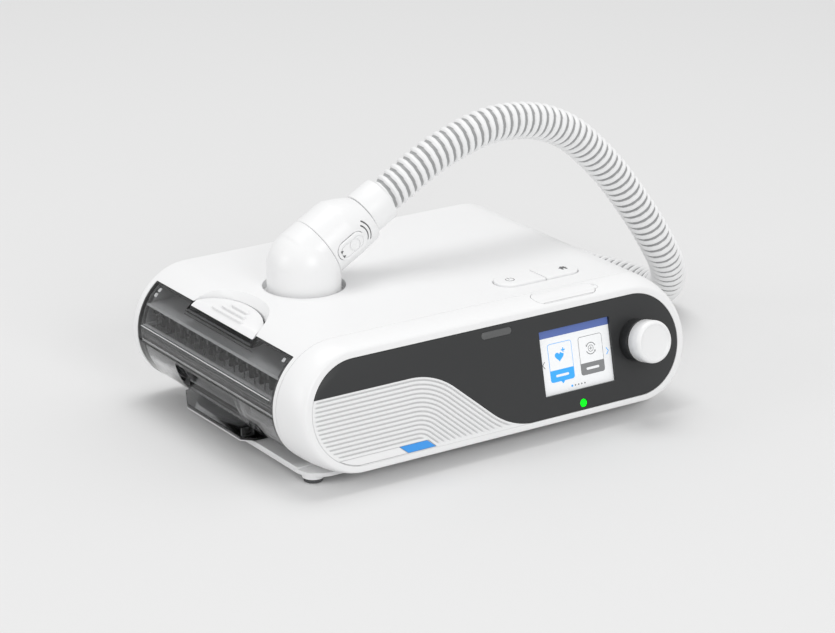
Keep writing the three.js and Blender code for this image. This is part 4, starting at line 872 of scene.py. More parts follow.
def piece(
    name: str,
    shape: BMesh,
    material: Material,
    body: Body,
    slot: str,
    replaces: Sequence[str] = (),
    sharp: float = 32.0,
    rounding: float = 0.0,
) -> Object:
    """Makes the finished object of a shape drawn in millimetres.

    Args:
        name: The piece's name.
        shape: The shape, which is used up.
        material: The piece's finish.
        body: The body that it moves with.
        slot: The record's material slot; not used.
        replaces: The nodes that it stands for.
        sharp: The angle over which an edge stays sharp.
        rounding: The width of the rounding on its edges, in millimetres.

    Returns:
        The new object, riding on its body.
    """
    bmesh.ops.transform(shape, matrix=TO_FRAME, verts=shape.verts)
    mesh = as_mesh(name, shape)
    mesh.shade_smooth()
    mesh.set_sharp_from_angle(angle=radians(sharp))
    mesh.materials.append(material)
    made = placed(name, mesh)
    if rounding:
        bevel = made.modifiers.new("edges", "BEVEL")
        bevel.width = rounding * MM
        bevel.segments = 2
        bevel.limit_method = "ANGLE"
        bevel.angle_limit = radians(sharp + 3)
        bevel.use_clamp_overlap = False
        bevel.harden_normals = True
        bevel.miter_outer = "MITER_ARC"
    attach(made, body.value)
    if replaces:
        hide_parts(*replaces)
    log.info("%s: %d faces on %s", name, len(mesh.polygons), body.value)
    return made


# Camera and light


@dataclass
class Studio:
    """The camera, lamps, floor and backdrop."""

    place: Place = (-1.00947, -1.51415, 0.71346)
    right: Place = (0.8324, -0.5541, 0.0)
    forward: Place = (0.5218, 0.7838, -0.3366)
    lens: float = 123.27
    sensor_width: float = 36.0
    target: Place = (0.0, 0.0, 0.05)
    softboxes: tuple[tuple[str, Place, float, float], ...] = (
        ("overhead softbox", (0.2, 0.55, 3.0), 1.6, 29.0),
        ("front softbox", (-0.2, -2.6, 1.3), 1.2, 21.0),
        ("left strip", (-2.2, 0.4, 0.9), 1.0, 7.0),
    )
    surround: float = 0.64
    backdrop: Colour = (0.79, 0.79, 0.79)
    floor_reach: float = 30.0
    floor_colour: Colour = (0.78, 0.78, 0.78)

    def camera(self) -> None:
        """Sets up the camera at the photograph's angle."""
        data = bpy.data.cameras.new("camera")
        data.lens = self.lens
        data.sensor_width = self.sensor_width
        data.clip_end = 100.0
        right, forward = Vector(self.right).normalized(), Vector(self.forward).normalized()
        up = right.cross(forward)
        right = forward.cross(up)
        turn = Matrix((right, up, -forward)).transposed().to_4x4()
        made = placed("camera", data)
        made.matrix_world = Matrix.Translation(self.place) @ turn
        bpy.context.scene.camera = made

    def lamp(self, name: str, place: Place, size: float, power: float) -> None:
        """Adds a soft square lamp that looks at the unit."""
        data = bpy.data.lights.new(name, "AREA")
        data.size = size
        data.energy = power
        made = placed(name, data)
        aim = Vector(self.target) - Vector(place)
        made.rotation_euler = aim.to_track_quat("-Z", "Y").to_euler()
        made.location = place

    def world(self) -> None:
        """Sets up the even surround, and the backdrop that the camera sees in its place."""
        world = bpy.data.worlds.new("surround")
        bpy.context.scene.world = world
        world.use_nodes = True
        tree = world.node_tree
        tree.nodes.clear()
        light, backdrop = (
            add_node(tree, "ShaderNodeBackground", {"Color": (*colour, 1.0), "Strength": strength})
            for colour, strength in (((1.0, 1.0, 1.0), self.surround), (self.backdrop, 1.0))
        )
        path = tree.nodes.new("ShaderNodeLightPath").outputs
        seen = math_node(tree, "ADD", path["Is Camera Ray"], path["Is Glossy Ray"])
        seen = math_node(tree, "ADD", seen, path["Is Transmission Ray"])
        seen.node.use_clamp = True
        choose = tree.nodes.new("ShaderNodeMixShader")
        for socket, value in zip(choose.inputs, (seen, light.outputs[0], backdrop.outputs[0])):
            feed(tree, socket, value)
        add_node(tree, "ShaderNodeOutputWorld", {"Surface": choose.outputs[0]})

    def floor(self) -> None:
        """Lays the pale floor."""
        shape = bmesh.new()
        bmesh.ops.create_grid(shape, x_segments=2, y_segments=2, size=self.floor_reach)
        material, tree = new_material("studio floor")
        noise = add_node(tree, "ShaderNodeTexNoise", {"Vector": object_place(tree), "Scale": 1.5})
        tone = math_node(tree, "MULTIPLY_ADD", noise.outputs["Fac"], 0.01, 0.995)
        colour = scaled_colour(tree, self.floor_colour, tone)
        mesh = as_mesh("floor", shape)
        mesh.materials.append(
            dressed(material, {"Base Color": colour, "Roughness": 0.9, "Specular IOR Level": 0.0})
        )
        placed("floor", mesh)

    def build(self) -> None:
        """Builds the studio around the object."""
        bpy.context.scene.view_settings.view_transform = "Standard"
        self.camera()
        for softbox in self.softboxes:
            self.lamp(*softbox)
        self.world()
        self.floor()


# Hose


@dataclass
class BreathingHose:
    """The ribbed hose, from the elbow's cuff over the top and down to its fold on the floor."""

    radius: float = 13.0
    valley: float = 11.1
    bore: float = 9.5
    pitch: float = 6.1
    wire: float = 1.85
    steps_per_rib: int = 10
    sides: int = 28
    cuff_end: float = 71.6
    part_z: float = -27.0
    air: tuple[Place, ...] = (
        (31, 125, 115.5), (71, 125, 128), (96, 125.5, 128.5), (121, 126.5, 123.5),
        (145, 127.5, 112), (165, 128, 95.5), (184, 128, 76), (200, 128, 56),
        (216, 128.5, 34.5), (231, 131, 13), (244, 137, -5), (254, 147, -22), (259, 160, -33),
    )
    lying: tuple[Point, ...] = (
        (259, 176), (254.5, 199), (246.5, 226), (240, 255), (237, 290),
        (229.1, 325), (207, 355.3), (172, 372.8), (140, 375), (75, 375),
        (0, 375), (-49.5, 354.5), (-70, 305), (-49.5, 255.5), (0, 235),
        (75, 235), (150, 235), (188.5, 251), (204.5, 289.5), (188.5, 328),
        (150, 344), (105, 344), (60, 344), (34, 344),
    )
    lie_z: float = -36.7
    samples: int = 120

    def route(self) -> list[Vector]:
        """The points that the hose passes through, as the part's source has them."""
        axis = Vector((sin(OUTLET_TURN), 0.0, cos(OUTLET_TURN)))
        start = Vector((*PORT, OUTLET_Z)) + axis * self.cuff_end
        straight = [start + axis * along for along in (0.0, self.radius, 2 * self.radius)]
        return [
            *straight,
            *(Vector(p) for p in self.air),
            *(Vector((x, y, self.lie_z)) for x, y in self.lying),
        ]

    def line(self) -> list[Vector]:
        """The smooth centreline, as closely spaced points an equal way apart."""
        route = self.route()
        points = [2 * route[0] - route[1], *route, 2 * route[-1] - route[-2]]
        dense = []
        for a, b, c, d in zip(points, points[1:], points[2:], points[3:]):
            before, across, after = ((q - p).length ** 0.5 for p, q in ((a, b), (b, c), (c, d)))
            leave = ((b - a) / before - (c - a) / (before + across) + (c - b) / across) * across
            arrive = ((c - b) / across - (d - b) / (across + after) + (d - c) / after) * across
            for i in range(self.samples):
                t = i / self.samples
                dense.append(
                    b
                    + leave * t
                    + (3 * (c - b) - 2 * leave - arrive) * t**2
                    + (2 * (b - c) + leave + arrive) * t**3
                )
        dense.append(route[-1])
        run = [0.0]
        for p, q in zip(dense, dense[1:]):
            run.append(run[-1] + (q - p).length)
        count = round(run[-1] / self.pitch * self.steps_per_rib)
        even, at = [], 0
        for i in range(count + 1):
            want = run[-1] * i / count
            while at < len(run) - 2 and run[at + 1] < want:
                at += 1
            share = (want - run[at]) / max(run[at + 1] - run[at], 1e-9)
            even.append(dense[at].lerp(dense[at + 1], min(1.0, share)))
        return even

    def rib(self, phase: float) -> float:
        """How far the rib rises at a phase of the pitch, from 0 in the valley to 1 on the crest."""
        across = abs((phase % 1.0) - 0.5) * self.pitch
        return sqrt(max(0.0, 1.0 - (across / self.wire) ** 2))

    def skin(self, line: list[Vector], first: int, last: int) -> BMesh:
        """Wraps the ribbed skin round a stretch of the line, from a flat grid.

        Args:
            line: The whole centreline.
            first: The index where the stretch starts.
            last: The index where it ends.

        Returns:
            The tube, whose points carry the height of the rib as an attribute.
        """
        frames = self.frames(line)
        shape = bmesh.new()
        bmesh.ops.create_grid(shape, x_segments=self.sides, y_segments=last - first, size=0.5)
        shape.verts.ensure_lookup_table()
        across = self.sides + 1
        layer = shape.verts.layers.float.new("rib")
        for index, vert in enumerate(shape.verts):
            row, column = divmod(index, across)
            k = first + row
            turn = (column % self.sides) / self.sides
            rise = self.rib(k / self.steps_per_rib + turn)
            fade = min(1.0, k / self.steps_per_rib, (len(line) - 1 - k) / self.steps_per_rib)
            radius = self.valley + (self.radius - self.valley) * rise * fade
            normal, side = frames[k]
            angle = 2 * pi * turn
            vert.co = line[k] + radius * (normal * cos(angle) + side * sin(angle))
            vert[layer] = rise
        bmesh.ops.remove_doubles(shape, verts=shape.verts, dist=1e-4)
        bmesh.ops.recalc_face_normals(shape, faces=shape.faces)
        return shape

    def frames(self, line: list[Vector]) -> list[tuple[Vector, Vector]]:
        """Two directions square to the line at each point, carried along without twist."""
        normal = Vector((0.0, 1.0, 0.0))
        found = []
        for k in range(len(line)):
            tangent = (line[min(k + 1, len(line) - 1)] - line[max(k - 1, 0)]).normalized()
            normal = (normal - tangent * normal.dot(tangent)).normalized()
            found.append((normal.copy(), tangent.cross(normal)))
        return found

    def build(self, finishes: Finishes) -> None:
        line = self.line()
        part = next(k for k, p in enumerate(line) if p.z < self.part_z)
        frame_line = [TO_FRAME @ p for p in line]
        rise, run = (
            piece(
                name, self.skin(line, first, last), finishes.hose, Body.HOUSING, "hose_film",
                ("breathing_hose",), sharp=80,
            )
            for name, first, last in (
                ("breathing_hose_rise", 0, part),
                ("breathing_hose_run", part, len(line) - 1),
            )
        )
        rise.parent = None
        inward = (line[0] - line[part]).normalized() * self.radius
        start, end = TO_FRAME @ (line[part] + inward), TO_FRAME @ (line[0] - inward)
        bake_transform(rise)
        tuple(start)
        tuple(end)
        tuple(frame_line[0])
        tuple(frame_line[part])


# Housing


def level(low: float, high: float, left: float = -FAR, right: float = FAR) -> BMesh:
    """A block over the unit's whole depth, between two heights and two sides."""
    return box((left, 0, low), (right, DEEP, high))


@dataclass
class Housing:
    """The main housing: top and bottom shells with their openings, and the feet."""

    half_width: float = 155.4
    half_height: float = 42.0
    rim_half_width: float = 148.5
    rim_half_height: float = 38.0
    seam_y: float = 27.5
    back_y: float = 218.0
    back_radius: float = 4.0
    split_z: float = -30.0
    bay_front_y: float = 31.5
    bay_back_y: float = 210.0
    bay_inner_x: float = -92.0
    bay_ceiling_z: float = 33.0
    bay_floor_z: float = -40.6
    recess_radius: float = 28.0
    recess_z: float = 36.6
    cup_top_z: float = 40.75
    collar_radius: float = 13.5
    scoop: Point = (-142.0, 119.0)
    scoop_half_length: float = 41.0
    scoop_steps: tuple[Point, ...] = ((24.5, 27), (24.5, 36.5), (26.3, 38.8), (29, 42), (29, 46))
    button_middle: Point = (64.75, 53.5)
    button_half: Point = (32.75, 10.5)
    boss_back_y: float = 216.75
    filter_box: Extent = (51.0, -12.0, 117.0, 28.0)
    filter_corner: float = 6.0
    filter_frame_y: float = 205.5
    filter_seat_y: float = 208.0
    filter_lip: float = 3.0
    inlet: Point = (6.0, -4.0)
    inlet_boss: float = 8.8
    inlet_bore: float = 6.3
    inlet_flare: float = 8.3
    outlet_window: Extent = (114.5, 13.3, 135.5, 29.3)
    blower_bore: Point = (165.0, 16.0)
    blower_bore_radius: float = 9.0
    base_wide: Extent = (-140.0, 12.0, 140.0, 170.0)
    base_narrow: Extent = (-122.5, 12.0, 122.5, 212.0)
    base_corner: float = 18.0
    base_z: Point = (-45.0, -41.0)
    base_step_z: float = -42.3
    heater_opening: tuple[Place, Place] = ((-121.8, 60.45, -42.5), (-94.2, 181.05, -38.6))
    foot_boss: float = 7.4
    foot_boss_z: float = -47.0
    foot_places: tuple[Point, ...] = ((-131, 23), (131, 23), (-102, 196), (102, 196))
    foot_top_z: float = -47.3
    foot_height: float = 2.7
    foot_radius: float = 6.25

    def ring(self, half_width: float, half_height: float, y: float, lean: float, arc: int) -> list[Vector]:
        """A stadium's points on a plane that leans back about X."""
        return [
            Vector((u, y + v * sin(lean), v * cos(lean)))
            for u, v in stadium(half_width, half_height, arc)
        ]

    def upright_ring(self, inset: float, y: float, arc: int = 44) -> list[Vector]:
        """The housing's outline at a depth, drawn in by an inset."""
        return self.ring(self.half_width - inset, self.half_height - inset, y, 0, arc)

    def cover(self, inset: float, front: float, past: float, arc: int = 44, steps: int = 14) -> BMesh:
        """The front cover's skin, which swells from the leaning rim to the upright seam."""
        rings = []
        for k in range(steps + 1):
            turn = k / steps * pi / 2
            depth, swell = 1 - cos(turn), sin(turn)
            half_width = self.rim_half_width + (self.half_width - self.rim_half_width) * swell - inset
            half_height = self.rim_half_height + (self.half_height - self.rim_half_height) * swell - inset
            y = front + (self.seam_y - front) * depth
            rings.append(self.ring(half_width, half_height, y, LEAN * (1 - depth), arc))
        if past:
            rings.append(self.upright_ring(inset, self.seam_y + past, arc))
        return loft(rings)

    def barrel(self, inset: float, front: float, back: float, radius: float) -> BMesh:
        """The main housing's skin from the seam back, with a rounded rear edge."""
        rings = [self.upright_ring(inset, front)]
        steps = 6
        for k in range(steps + 1):
            turn = k / steps * pi / 2
            pull = inset + radius * (1 - cos(turn))
            rings.append(self.upright_ring(pull, back - radius + radius * sin(turn)))
        return loft(rings)

    def bar(self, inset: float, front: float, back: float) -> BMesh:
        """A straight bar of the housing's outline, drawn in by an inset."""
        return loft([self.upright_ring(inset, y) for y in (front, back)])

    def thumb(self, reach: float, half_length: float, z: float) -> list[Vector]:
        """Half an ellipse that opens to the left end, at one height."""
        x, y = self.scoop
        steps = 40
        bend = [
            Vector((x + reach * cos(t), y + half_length * sin(t), z))
            for t in (pi * (i / steps - 0.5) for i in range(steps + 1))
        ]
        return [Vector((-FAR, y - half_length, z)), *bend, Vector((-FAR, y + half_length, z))]

    def filter_outline(self, grow: float) -> list[Point]:
        """The filter opening's outline, grown by a clearance."""
        left, low, right, high = self.filter_box
        return rounded(left - grow, low - grow, right + grow, high + grow, self.filter_corner + grow)

    def inlet_frame(self) -> Matrix:
        """The frame of the power inlet, whose Z axis looks back."""
        x, z = self.inlet
        return Matrix.Translation((x, 0, z)) @ Matrix.Rotation(-pi / 2, 4, "X")

    def cavity(self) -> BMesh:
        """The room inside the walls, clear of the chamber's bay."""
        return carved(
            self.barrel(WALL, self.seam_y - PAST, self.back_y - WALL, self.back_radius - WALL / 2),
            common=[box((self.bay_inner_x + WALL, -FAR, -FAR), (FAR, self.back_y, FAR))],
        )

    def bay(self) -> BMesh:
        """The chamber's bay, open at the left end."""
        return box(
            (-FAR, self.bay_front_y, self.bay_floor_z),
            (self.bay_inner_x, self.bay_back_y, self.bay_ceiling_z),
        )

    def air_ways(self, low: float, high: float) -> list[BMesh]:
        """The blower's bore and the outlet's window, as cutters between two sides."""
        y, z = self.blower_bore
        across = Matrix.Translation((0, y, z)) @ Matrix.Rotation(pi / 2, 4, "Y")
        front, bottom, back, top = self.outlet_window
        return [
            plate(disc(0, 0, self.blower_bore_radius), low, high, across),
            box((low, front, bottom), (high, back, top)),
        ]

    def top_shell(self) -> BMesh:
        """The upper shell with the elbow's cup, the thumb recess, the button well and the rear openings."""
        shell = carved(
            self.barrel(0, self.seam_y + GAP, self.back_y, self.back_radius),
            common=[level(self.split_z + GAP / 2, FAR)],
            cut=[self.cavity(), self.bay()],
        )
        inlet = self.inlet_frame()
        half_x, half_y = self.button_half
        return carved(
            shell,
            join=[
                plate(disc(*PORT, self.recess_radius + WALL, 64), self.recess_z - WALL, self.cup_top_z),
                plate(self.filter_outline(WALL), -self.boss_back_y, -self.filter_frame_y, UPRIGHT),
                plate(disc(0, 0, self.inlet_boss), 204, self.boss_back_y, inlet),
            ],
            cut=[
                plate(disc(*PORT, self.recess_radius, 96), self.recess_z, ABOVE),
                plate(disc(*PORT, self.collar_radius, 64), 20, ABOVE),
                loft([self.thumb(reach, self.scoop_half_length, z) for reach, z in self.scoop_steps]),
                plate(stadium(half_x + GAP, half_y + GAP, 32, *self.button_middle), 30, ABOVE),
                plate(self.filter_outline(0), -DEEP, -self.filter_seat_y, UPRIGHT),
                plate(self.filter_outline(-self.filter_lip), -self.back_y, -200, UPRIGHT),
                plate(disc(0, 0, self.inlet_bore), 200, self.back_y + 1, inlet),
                plate(disc(0, 0, self.inlet_flare), self.back_y - 1.5, DEEP, inlet),
                *self.air_ways(self.bay_inner_x - PAST, self.bay_inner_x + 2 * WALL),
            ],
        )

    def bottom_shell(self) -> BMesh:
        """The lower shell with its base plate and foot bosses."""
        wide, narrow = (
            plate(rounded(*extent, self.base_corner), *self.base_z)
            for extent in (self.base_wide, self.base_narrow)
        )
        base_top = self.base_z[1]
        bosses = [plate(disc(x, y, self.foot_boss), self.foot_boss_z, base_top) for x, y in self.foot_places]
        under = box((-FAR, -FAR, self.base_step_z), (FAR, self.seam_y + GAP, FAR))
        skirt = carved(carved(wide, join=[narrow]), join=bosses, cut=[under])
        return carved(
            self.barrel(0, self.seam_y + GAP, self.back_y, self.back_radius),
            join=[skirt],
            common=[level(-60, self.split_z - GAP / 2)],
            cut=[self.cavity(), self.bay(), box(*self.heater_opening)],
        )

    def feet(self, finishes: Finishes) -> None:
        """Adds the four rubber feet."""
        names = ("front_left", "front_right", "rear_left", "rear_right")
        top, radius = self.foot_top_z, self.foot_radius
        low = top - self.foot_height
        profile = [
            (0, low + 0.25), (3.4, low + 0.25), (3.7, low), (radius - 0.7, low), (radius - 0.2, low + 0.3),
            (radius, low + 0.9), (radius, top), (2.5, top), (2.5, top + 3), (0, top + 3),
        ]
        for name, place in zip(names, self.foot_places):
            piece(
                f"rubber_foot_{name}", turned(profile, Matrix.Translation((*place, 0))), finishes.foot,
                Body.HOUSING, "foot_rubber", (f"foot_{name}",),
            )

    def build(self, finishes: Finishes) -> None:
        """Makes the shells and the feet."""
        for name, shape, node, rounding in (
            ("housing_top", self.top_shell(), "top_shell", 0.35),
            ("housing_bottom", self.bottom_shell(), "bottom_shell", 0.3),
        ):
            piece(name, shape, finishes.housing, Body.HOUSING, "housing_white", (node,), rounding=rounding)
        self.feet(finishes)


# Front


@dataclass(frozen=True)
class Openings:
    """What passes through the front panel, in the panel's own plane."""

    screen: Extent = (32.5, -20.3, 90.1, 23.3)
    knob: Point = (110.2, 3.5)
    knob_radius: float = 3.6
    lamp: Point = (62.0, -30.0)
    lamp_radius: float = 2.9
    sensor: Point = (-0.4, 29.2)
    sensor_half: Point = (11.95, 2.45)
    above: float = 6.0

    def screen_outline(self, grow: float, corner: float) -> list[Point]:
        """The screen's opening, grown by a margin."""
        left, low, right, high = self.screen
        return rounded(left - grow, low - grow, right + grow, high + grow, corner)

    def cutters(self, low: float, grow: float, corner: float) -> list[BMesh]:
        """What cuts the screen's opening, grown by a margin, and the knob's and lamp's bores."""
        outlines = (
            self.screen_outline(grow, corner),
            disc(*self.knob, self.knob_radius),
            disc(*self.lamp, self.lamp_radius),
        )
        return [plate(outline, low, self.above, PANEL) for outline in outlines]


OPENINGS = Openings()


@dataclass
class FrontCover:
    """The front cover with its rim, the card door and the pocket behind it."""

    housing: Housing
    panel_half: Point = (144.8, 34.6)
    pocket_depth: float = 2.2
    wall: float = 5.0
    door: Extent = (37.0, 11.3, 86.0, 25.5)
    door_corner: float = 6.5
    door_depth: float = 2.4
    notch_radius: float = 3.6
    notch_z: float = 40.2
    well_z: Point = (28.1, 42.0)
    pocket_z: Point = (30.6, 42.0)
    pocket_margin: float = 2.6
    card_half: Point = (12.3, 1.35)
    card_z: Point = (26.1, 42.0)

    def door_outline(self, grow: float) -> list[Point]:
        """The card door's outline, grown by a clearance."""
        left, front, right, back = self.door
        return rounded(left - grow, front - grow, right + grow, back + grow, self.door_corner + grow, 14)

    def skin(self, inset: float, front: float, past: float = 0) -> BMesh:
        """The cover's skin in fewer steps, to bound the small shapes."""
        return self.housing.cover(inset, front, past, 24, 8)

    def block(self, half_x: float, half_y: float, low: float, high: float) -> BMesh:
        """A block about the card door's middle."""
        left, front, right, back = self.door
        x, y = (left + right) / 2, (front + back) / 2
        return box((x - half_x, y - half_y, low), (x + half_x, y + half_y, high))

    def rim(self) -> BMesh:
        """The cover, hollow, with the panel's pocket and the openings cut."""
        left, front, right, back = self.door
        half_x, half_y = (right - left) / 2, (back - front) / 2
        depth, margin = self.door_depth, self.pocket_margin
        well = carved(
            self.block(half_x + WALL, half_y + WALL / 2, *self.well_z), common=[self.skin(WALL / 2, 0)]
        )
        opening = carved(
            plate(self.door_outline(GAP), 0, ABOVE), cut=[self.skin(depth + GAP, depth + GAP, PAST)]
        )
        pocket = carved(
            self.block(half_x - margin, half_y - margin, *self.pocket_z), common=[self.skin(depth, 0)]
        )
        cover = self.housing.cover
        return carved(
            carved(cover(0, 0, 0), cut=[cover(WALL, self.wall, PAST, 24, 10)]),
            join=[well],
            cut=[
                plate(stadium(*self.panel_half, 60), -self.pocket_depth, OPENINGS.above, PANEL),
                *OPENINGS.cutters(-9, 3, 1.5),
                opening,
                plate(disc(right, (front + back) / 2, self.notch_radius), self.notch_z, ABOVE),
                pocket,
                self.block(*self.card_half, *self.card_z),
            ],
        )

    def flap(self) -> BMesh:
        """The card door, flush with the cover."""
        return carved(
            self.housing.cover(0, 0, 0),
            common=[plate(self.door_outline(0), 0, ABOVE)],
            cut=[self.skin(self.door_depth, self.door_depth, PAST)],
        )

    def build(self, finishes: Finishes) -> None:
        """Makes the cover and its door."""
        for name, shape, body, node, rounding in (
            ("front_rim", self.rim(), Body.HOUSING, "front_cover", 0.35),
            ("card_flap", self.flap(), Body.DOOR, "card_door", 0.3),
        ):
            piece(name, shape, finishes.housing, body, "housing_white", (node,), rounding=rounding)


@dataclass
class FrontPanel:
    """The dark window, the grooved field below its sweep, the bare label, the sensor and the lamp."""

    half: Point = (144.5, 34.3)
    bottom: float = -1.9
    sweep_v: float = 13.3
    bend_u: float = -70.0
    radius: float = 50.0
    turn: float = radians(41.2)
    sweep_steps: tuple[int, int, int, int] = (62, 16, 26, 30)
    full_half_height: float = 34.6
    far_u: float = 147.0
    groove_count: int = 14
    groove_first: float = 2.0
    pitch: float = 2.87
    groove_depth: float = 1.15
    groove_rows: tuple[float, ...] = (-0.85, -0.65, -0.5, -0.25, 0.0, 0.25, 0.5, 0.65, 0.85, 1.2, 1.435)
    end_margin: float = 1.5
    field_grow: float = 0.22
    label: Extent = (-130.0, -34.0, -63.0, -28.3)
    label_thickness: float = 0.5
    tab_left: float = -84.0
    slant: float = 6.0
    sensor_play: float = 0.08

    def sweep(self, offset: float) -> list[Point]:
        """The line that parts window and grooves, moved square to itself by an offset."""
        straight, arc, fall, tail = self.sweep_steps
        drop = self.full_half_height + self.sweep_v
        steep = drop - 2 * self.radius * (1 - cos(self.turn))
        run = 2 * self.radius * sin(self.turn) + steep / tan(self.turn)
        bottom_u = self.bend_u + run
        inner, outer = self.radius - offset, self.radius + offset
        first = [
            (self.bend_u + inner * sin(t), self.sweep_v - self.radius + inner * cos(t))
            for t in (self.turn * i / arc for i in range(arc + 1))
        ]
        last = [
            (bottom_u - outer * sin(t), self.radius - self.full_half_height - outer * cos(t))
            for t in (self.turn * i / arc for i in range(arc, -1, -1))
        ]
        start = (-self.far_u, self.sweep_v - offset)
        end = (self.far_u, last[-1][1])
        points = [start]
        for a, b, count, bend in (
            (start, first[0], straight, first),
            (first[-1], last[0], fall, last),
            (last[-1], end, tail, [end]),
        ):
            points += [
                (a[0] + (b[0] - a[0]) * i / count, a[1] + (b[1] - a[1]) * i / count)
                for i in range(1, count + 1)
            ]
            points += bend[1:]
        return points

    def below(self, offset: float, low: float, high: float) -> BMesh:
        """All that lies under the sweep, as a block."""
        deep = -self.full_half_height - self.radius
        return plate([*self.sweep(offset)[::-1], (-self.far_u, deep), (self.far_u, deep)], low, high, PANEL)

    def window(self) -> BMesh:
        """The dark window with the screen's, knob's, lamp's and sensor's openings."""
        above = OPENINGS.above
        return carved(
            plate(self.outline(0), self.bottom, 0, PANEL, bevel=0.3, segments=2),
            cut=[
                self.below(-GAP / 2, -above, above),
                *OPENINGS.cutters(-above, 0, 0.4),
                plate(stadium(*OPENINGS.sensor_half, 20, *OPENINGS.sensor), -above, above, PANEL),
            ],
        )

    def outline(self, grow: float) -> list[Point]:
        """The panel's outline, grown by a margin."""
        return stadium(self.half[0] + grow, self.half[1] + grow, 60)

    def inside(self, u: float, v: float) -> float:
        """How far a point lies inside the panel's outline."""
        reach = self.half[0] - self.half[1]
        return self.half[1] - hypot(max(0.0, abs(u) - reach), v)

    def groove(self, offset: float) -> float:
        """The depth of the rounded grooves at an offset from the sweep, from 0 to 1."""
        nearest = round((offset - self.groove_first) / self.pitch)
        nearest = min(max(nearest, 0), self.groove_count - 1)
        away = abs(offset - self.groove_first - nearest * self.pitch)
        if away > self.pitch / 2:
            return 0.0
        crown = 0.22 * (1 - away / (self.pitch / 2)) ** 2
        slot = 0.78 / (1 + (away / 0.5) ** 6)
        return crown + slot

    def field(self) -> BMesh:
        """The grooved field, a closed slab whose face follows the sweep in rounded ribs."""
        rows = [GAP / 2, 0.6, 1.0]
        for i in range(self.groove_count):
            middle = self.groove_first + i * self.pitch
            rows += [middle + d for d in self.groove_rows]
        rows += [self.groove_first + self.groove_count * self.pitch + d for d in (0.0, 3.0, 6.0, 9.0)]
        rows = sorted(set(round(r, 3) for r in rows if r >= GAP / 2))
        columns = len(self.sweep(0.0))
        shape = bmesh.new()
        bmesh.ops.create_grid(shape, x_segments=columns - 1, y_segments=len(rows) - 1, size=0.5)
        shape.verts.ensure_lookup_table()
        lines = [self.sweep(r) for r in rows]
        left, low, right, high = self.label
        for index, vert in enumerate(shape.verts):
            row, column = divmod(index, columns)
            u, v = lines[row][column]
            edge = min(1.0, max(0.0, (self.inside(u, v) - self.end_margin) / 1.2))
            end = right + self.slant * (high - v) / (high - low)
            near = max(left - u, (u - end) * 0.7, v - high)
            clear = min(1.0, max(0.0, near - 0.9))
            vert.co = (u, v, -self.groove_depth * self.groove(rows[row]) * edge * clear)
        made = bmesh.ops.extrude_face_region(shape, geom=shape.faces[:])["geom"]
        for vert in made:
            if isinstance(vert, bmesh.types.BMVert):
                vert.co.z = self.bottom
        bmesh.ops.recalc_face_normals(shape, faces=shape.faces)
        bmesh.ops.transform(shape, matrix=PANEL, verts=shape.verts)
        return carved(
            shape,
            common=[plate(self.outline(self.field_grow), self.bottom + 0.1, 0.2, PANEL)],
            cut=[plate(self.band(left, right + 3 * GAP, 0.0, 0.0), -self.label_thickness - GAP, 4, PANEL)],
        )

    def band(self, left: float, right: float, left_slant: float, margin: float) -> list[Point]:
        """A strip of the label's height whose right end leans, and its left end if it is told to."""
        _, low, _, high = self.label
        return [
            (left + left_slant, low + margin), (right + self.slant, low + margin), (right, high - margin),
            (left, high - margin),
        ]

    def build(self, finishes: Finishes) -> None:
        """Makes the window, the grooved field, the label with its tab, the sensor and the lamp."""
        body, glossy = Body.HOUSING, "window_black"
        piece(
            "dark_window", self.window(), finishes.window, body, glossy, ("front_window",), rounding=0.12
        )
        piece(
            "ribbed_field", self.field(), finishes.panel, body, "panel_white", ("grooved_panel",), sharp=50
        )
        left, _, right, _ = self.label
        thickness = self.label_thickness
        bare = carved(
            plate(self.band(left + GAP, self.tab_left - 2 * GAP, 0.0, GAP), -thickness, 0, PANEL),
            common=[plate(self.outline(-0.4), -1, 0.02, PANEL)],
        )
        tab = plate(self.band(self.tab_left, right, self.slant, GAP), -thickness, 0, PANEL)
        for name, shape, finish, slot, node in (
            ("bare_label", bare, finishes.label, "panel_white", "label_plate"),
            ("blue_tab", tab, finishes.tab, "accent_blue", "colour_tab"),
        ):
            piece(name, shape, finish, body, slot, (node,), rounding=0.12)
        half_width, half_height = (half - self.sensor_play for half in OPENINGS.sensor_half)
        sensor = plate(
            stadium(half_width, half_height, 24, *OPENINGS.sensor), -5, -0.12, PANEL, bevel=0.15, segments=2
        )
        piece("light_sensor_window", sensor, finishes.sensor, body, glossy, ("sensor_window",))
        dome = [(0, -4), (2.6, -4), (2.6, -0.5), (2.4, -0.2), (1.8, -0.05), (0, 0)]
        lamp = turned(dome, PANEL @ Matrix.Translation((*OPENINGS.lamp, 0)))
        piece("green_lamp", lamp, finishes.lamp, body, "lamp_green", ("status_lamp",))


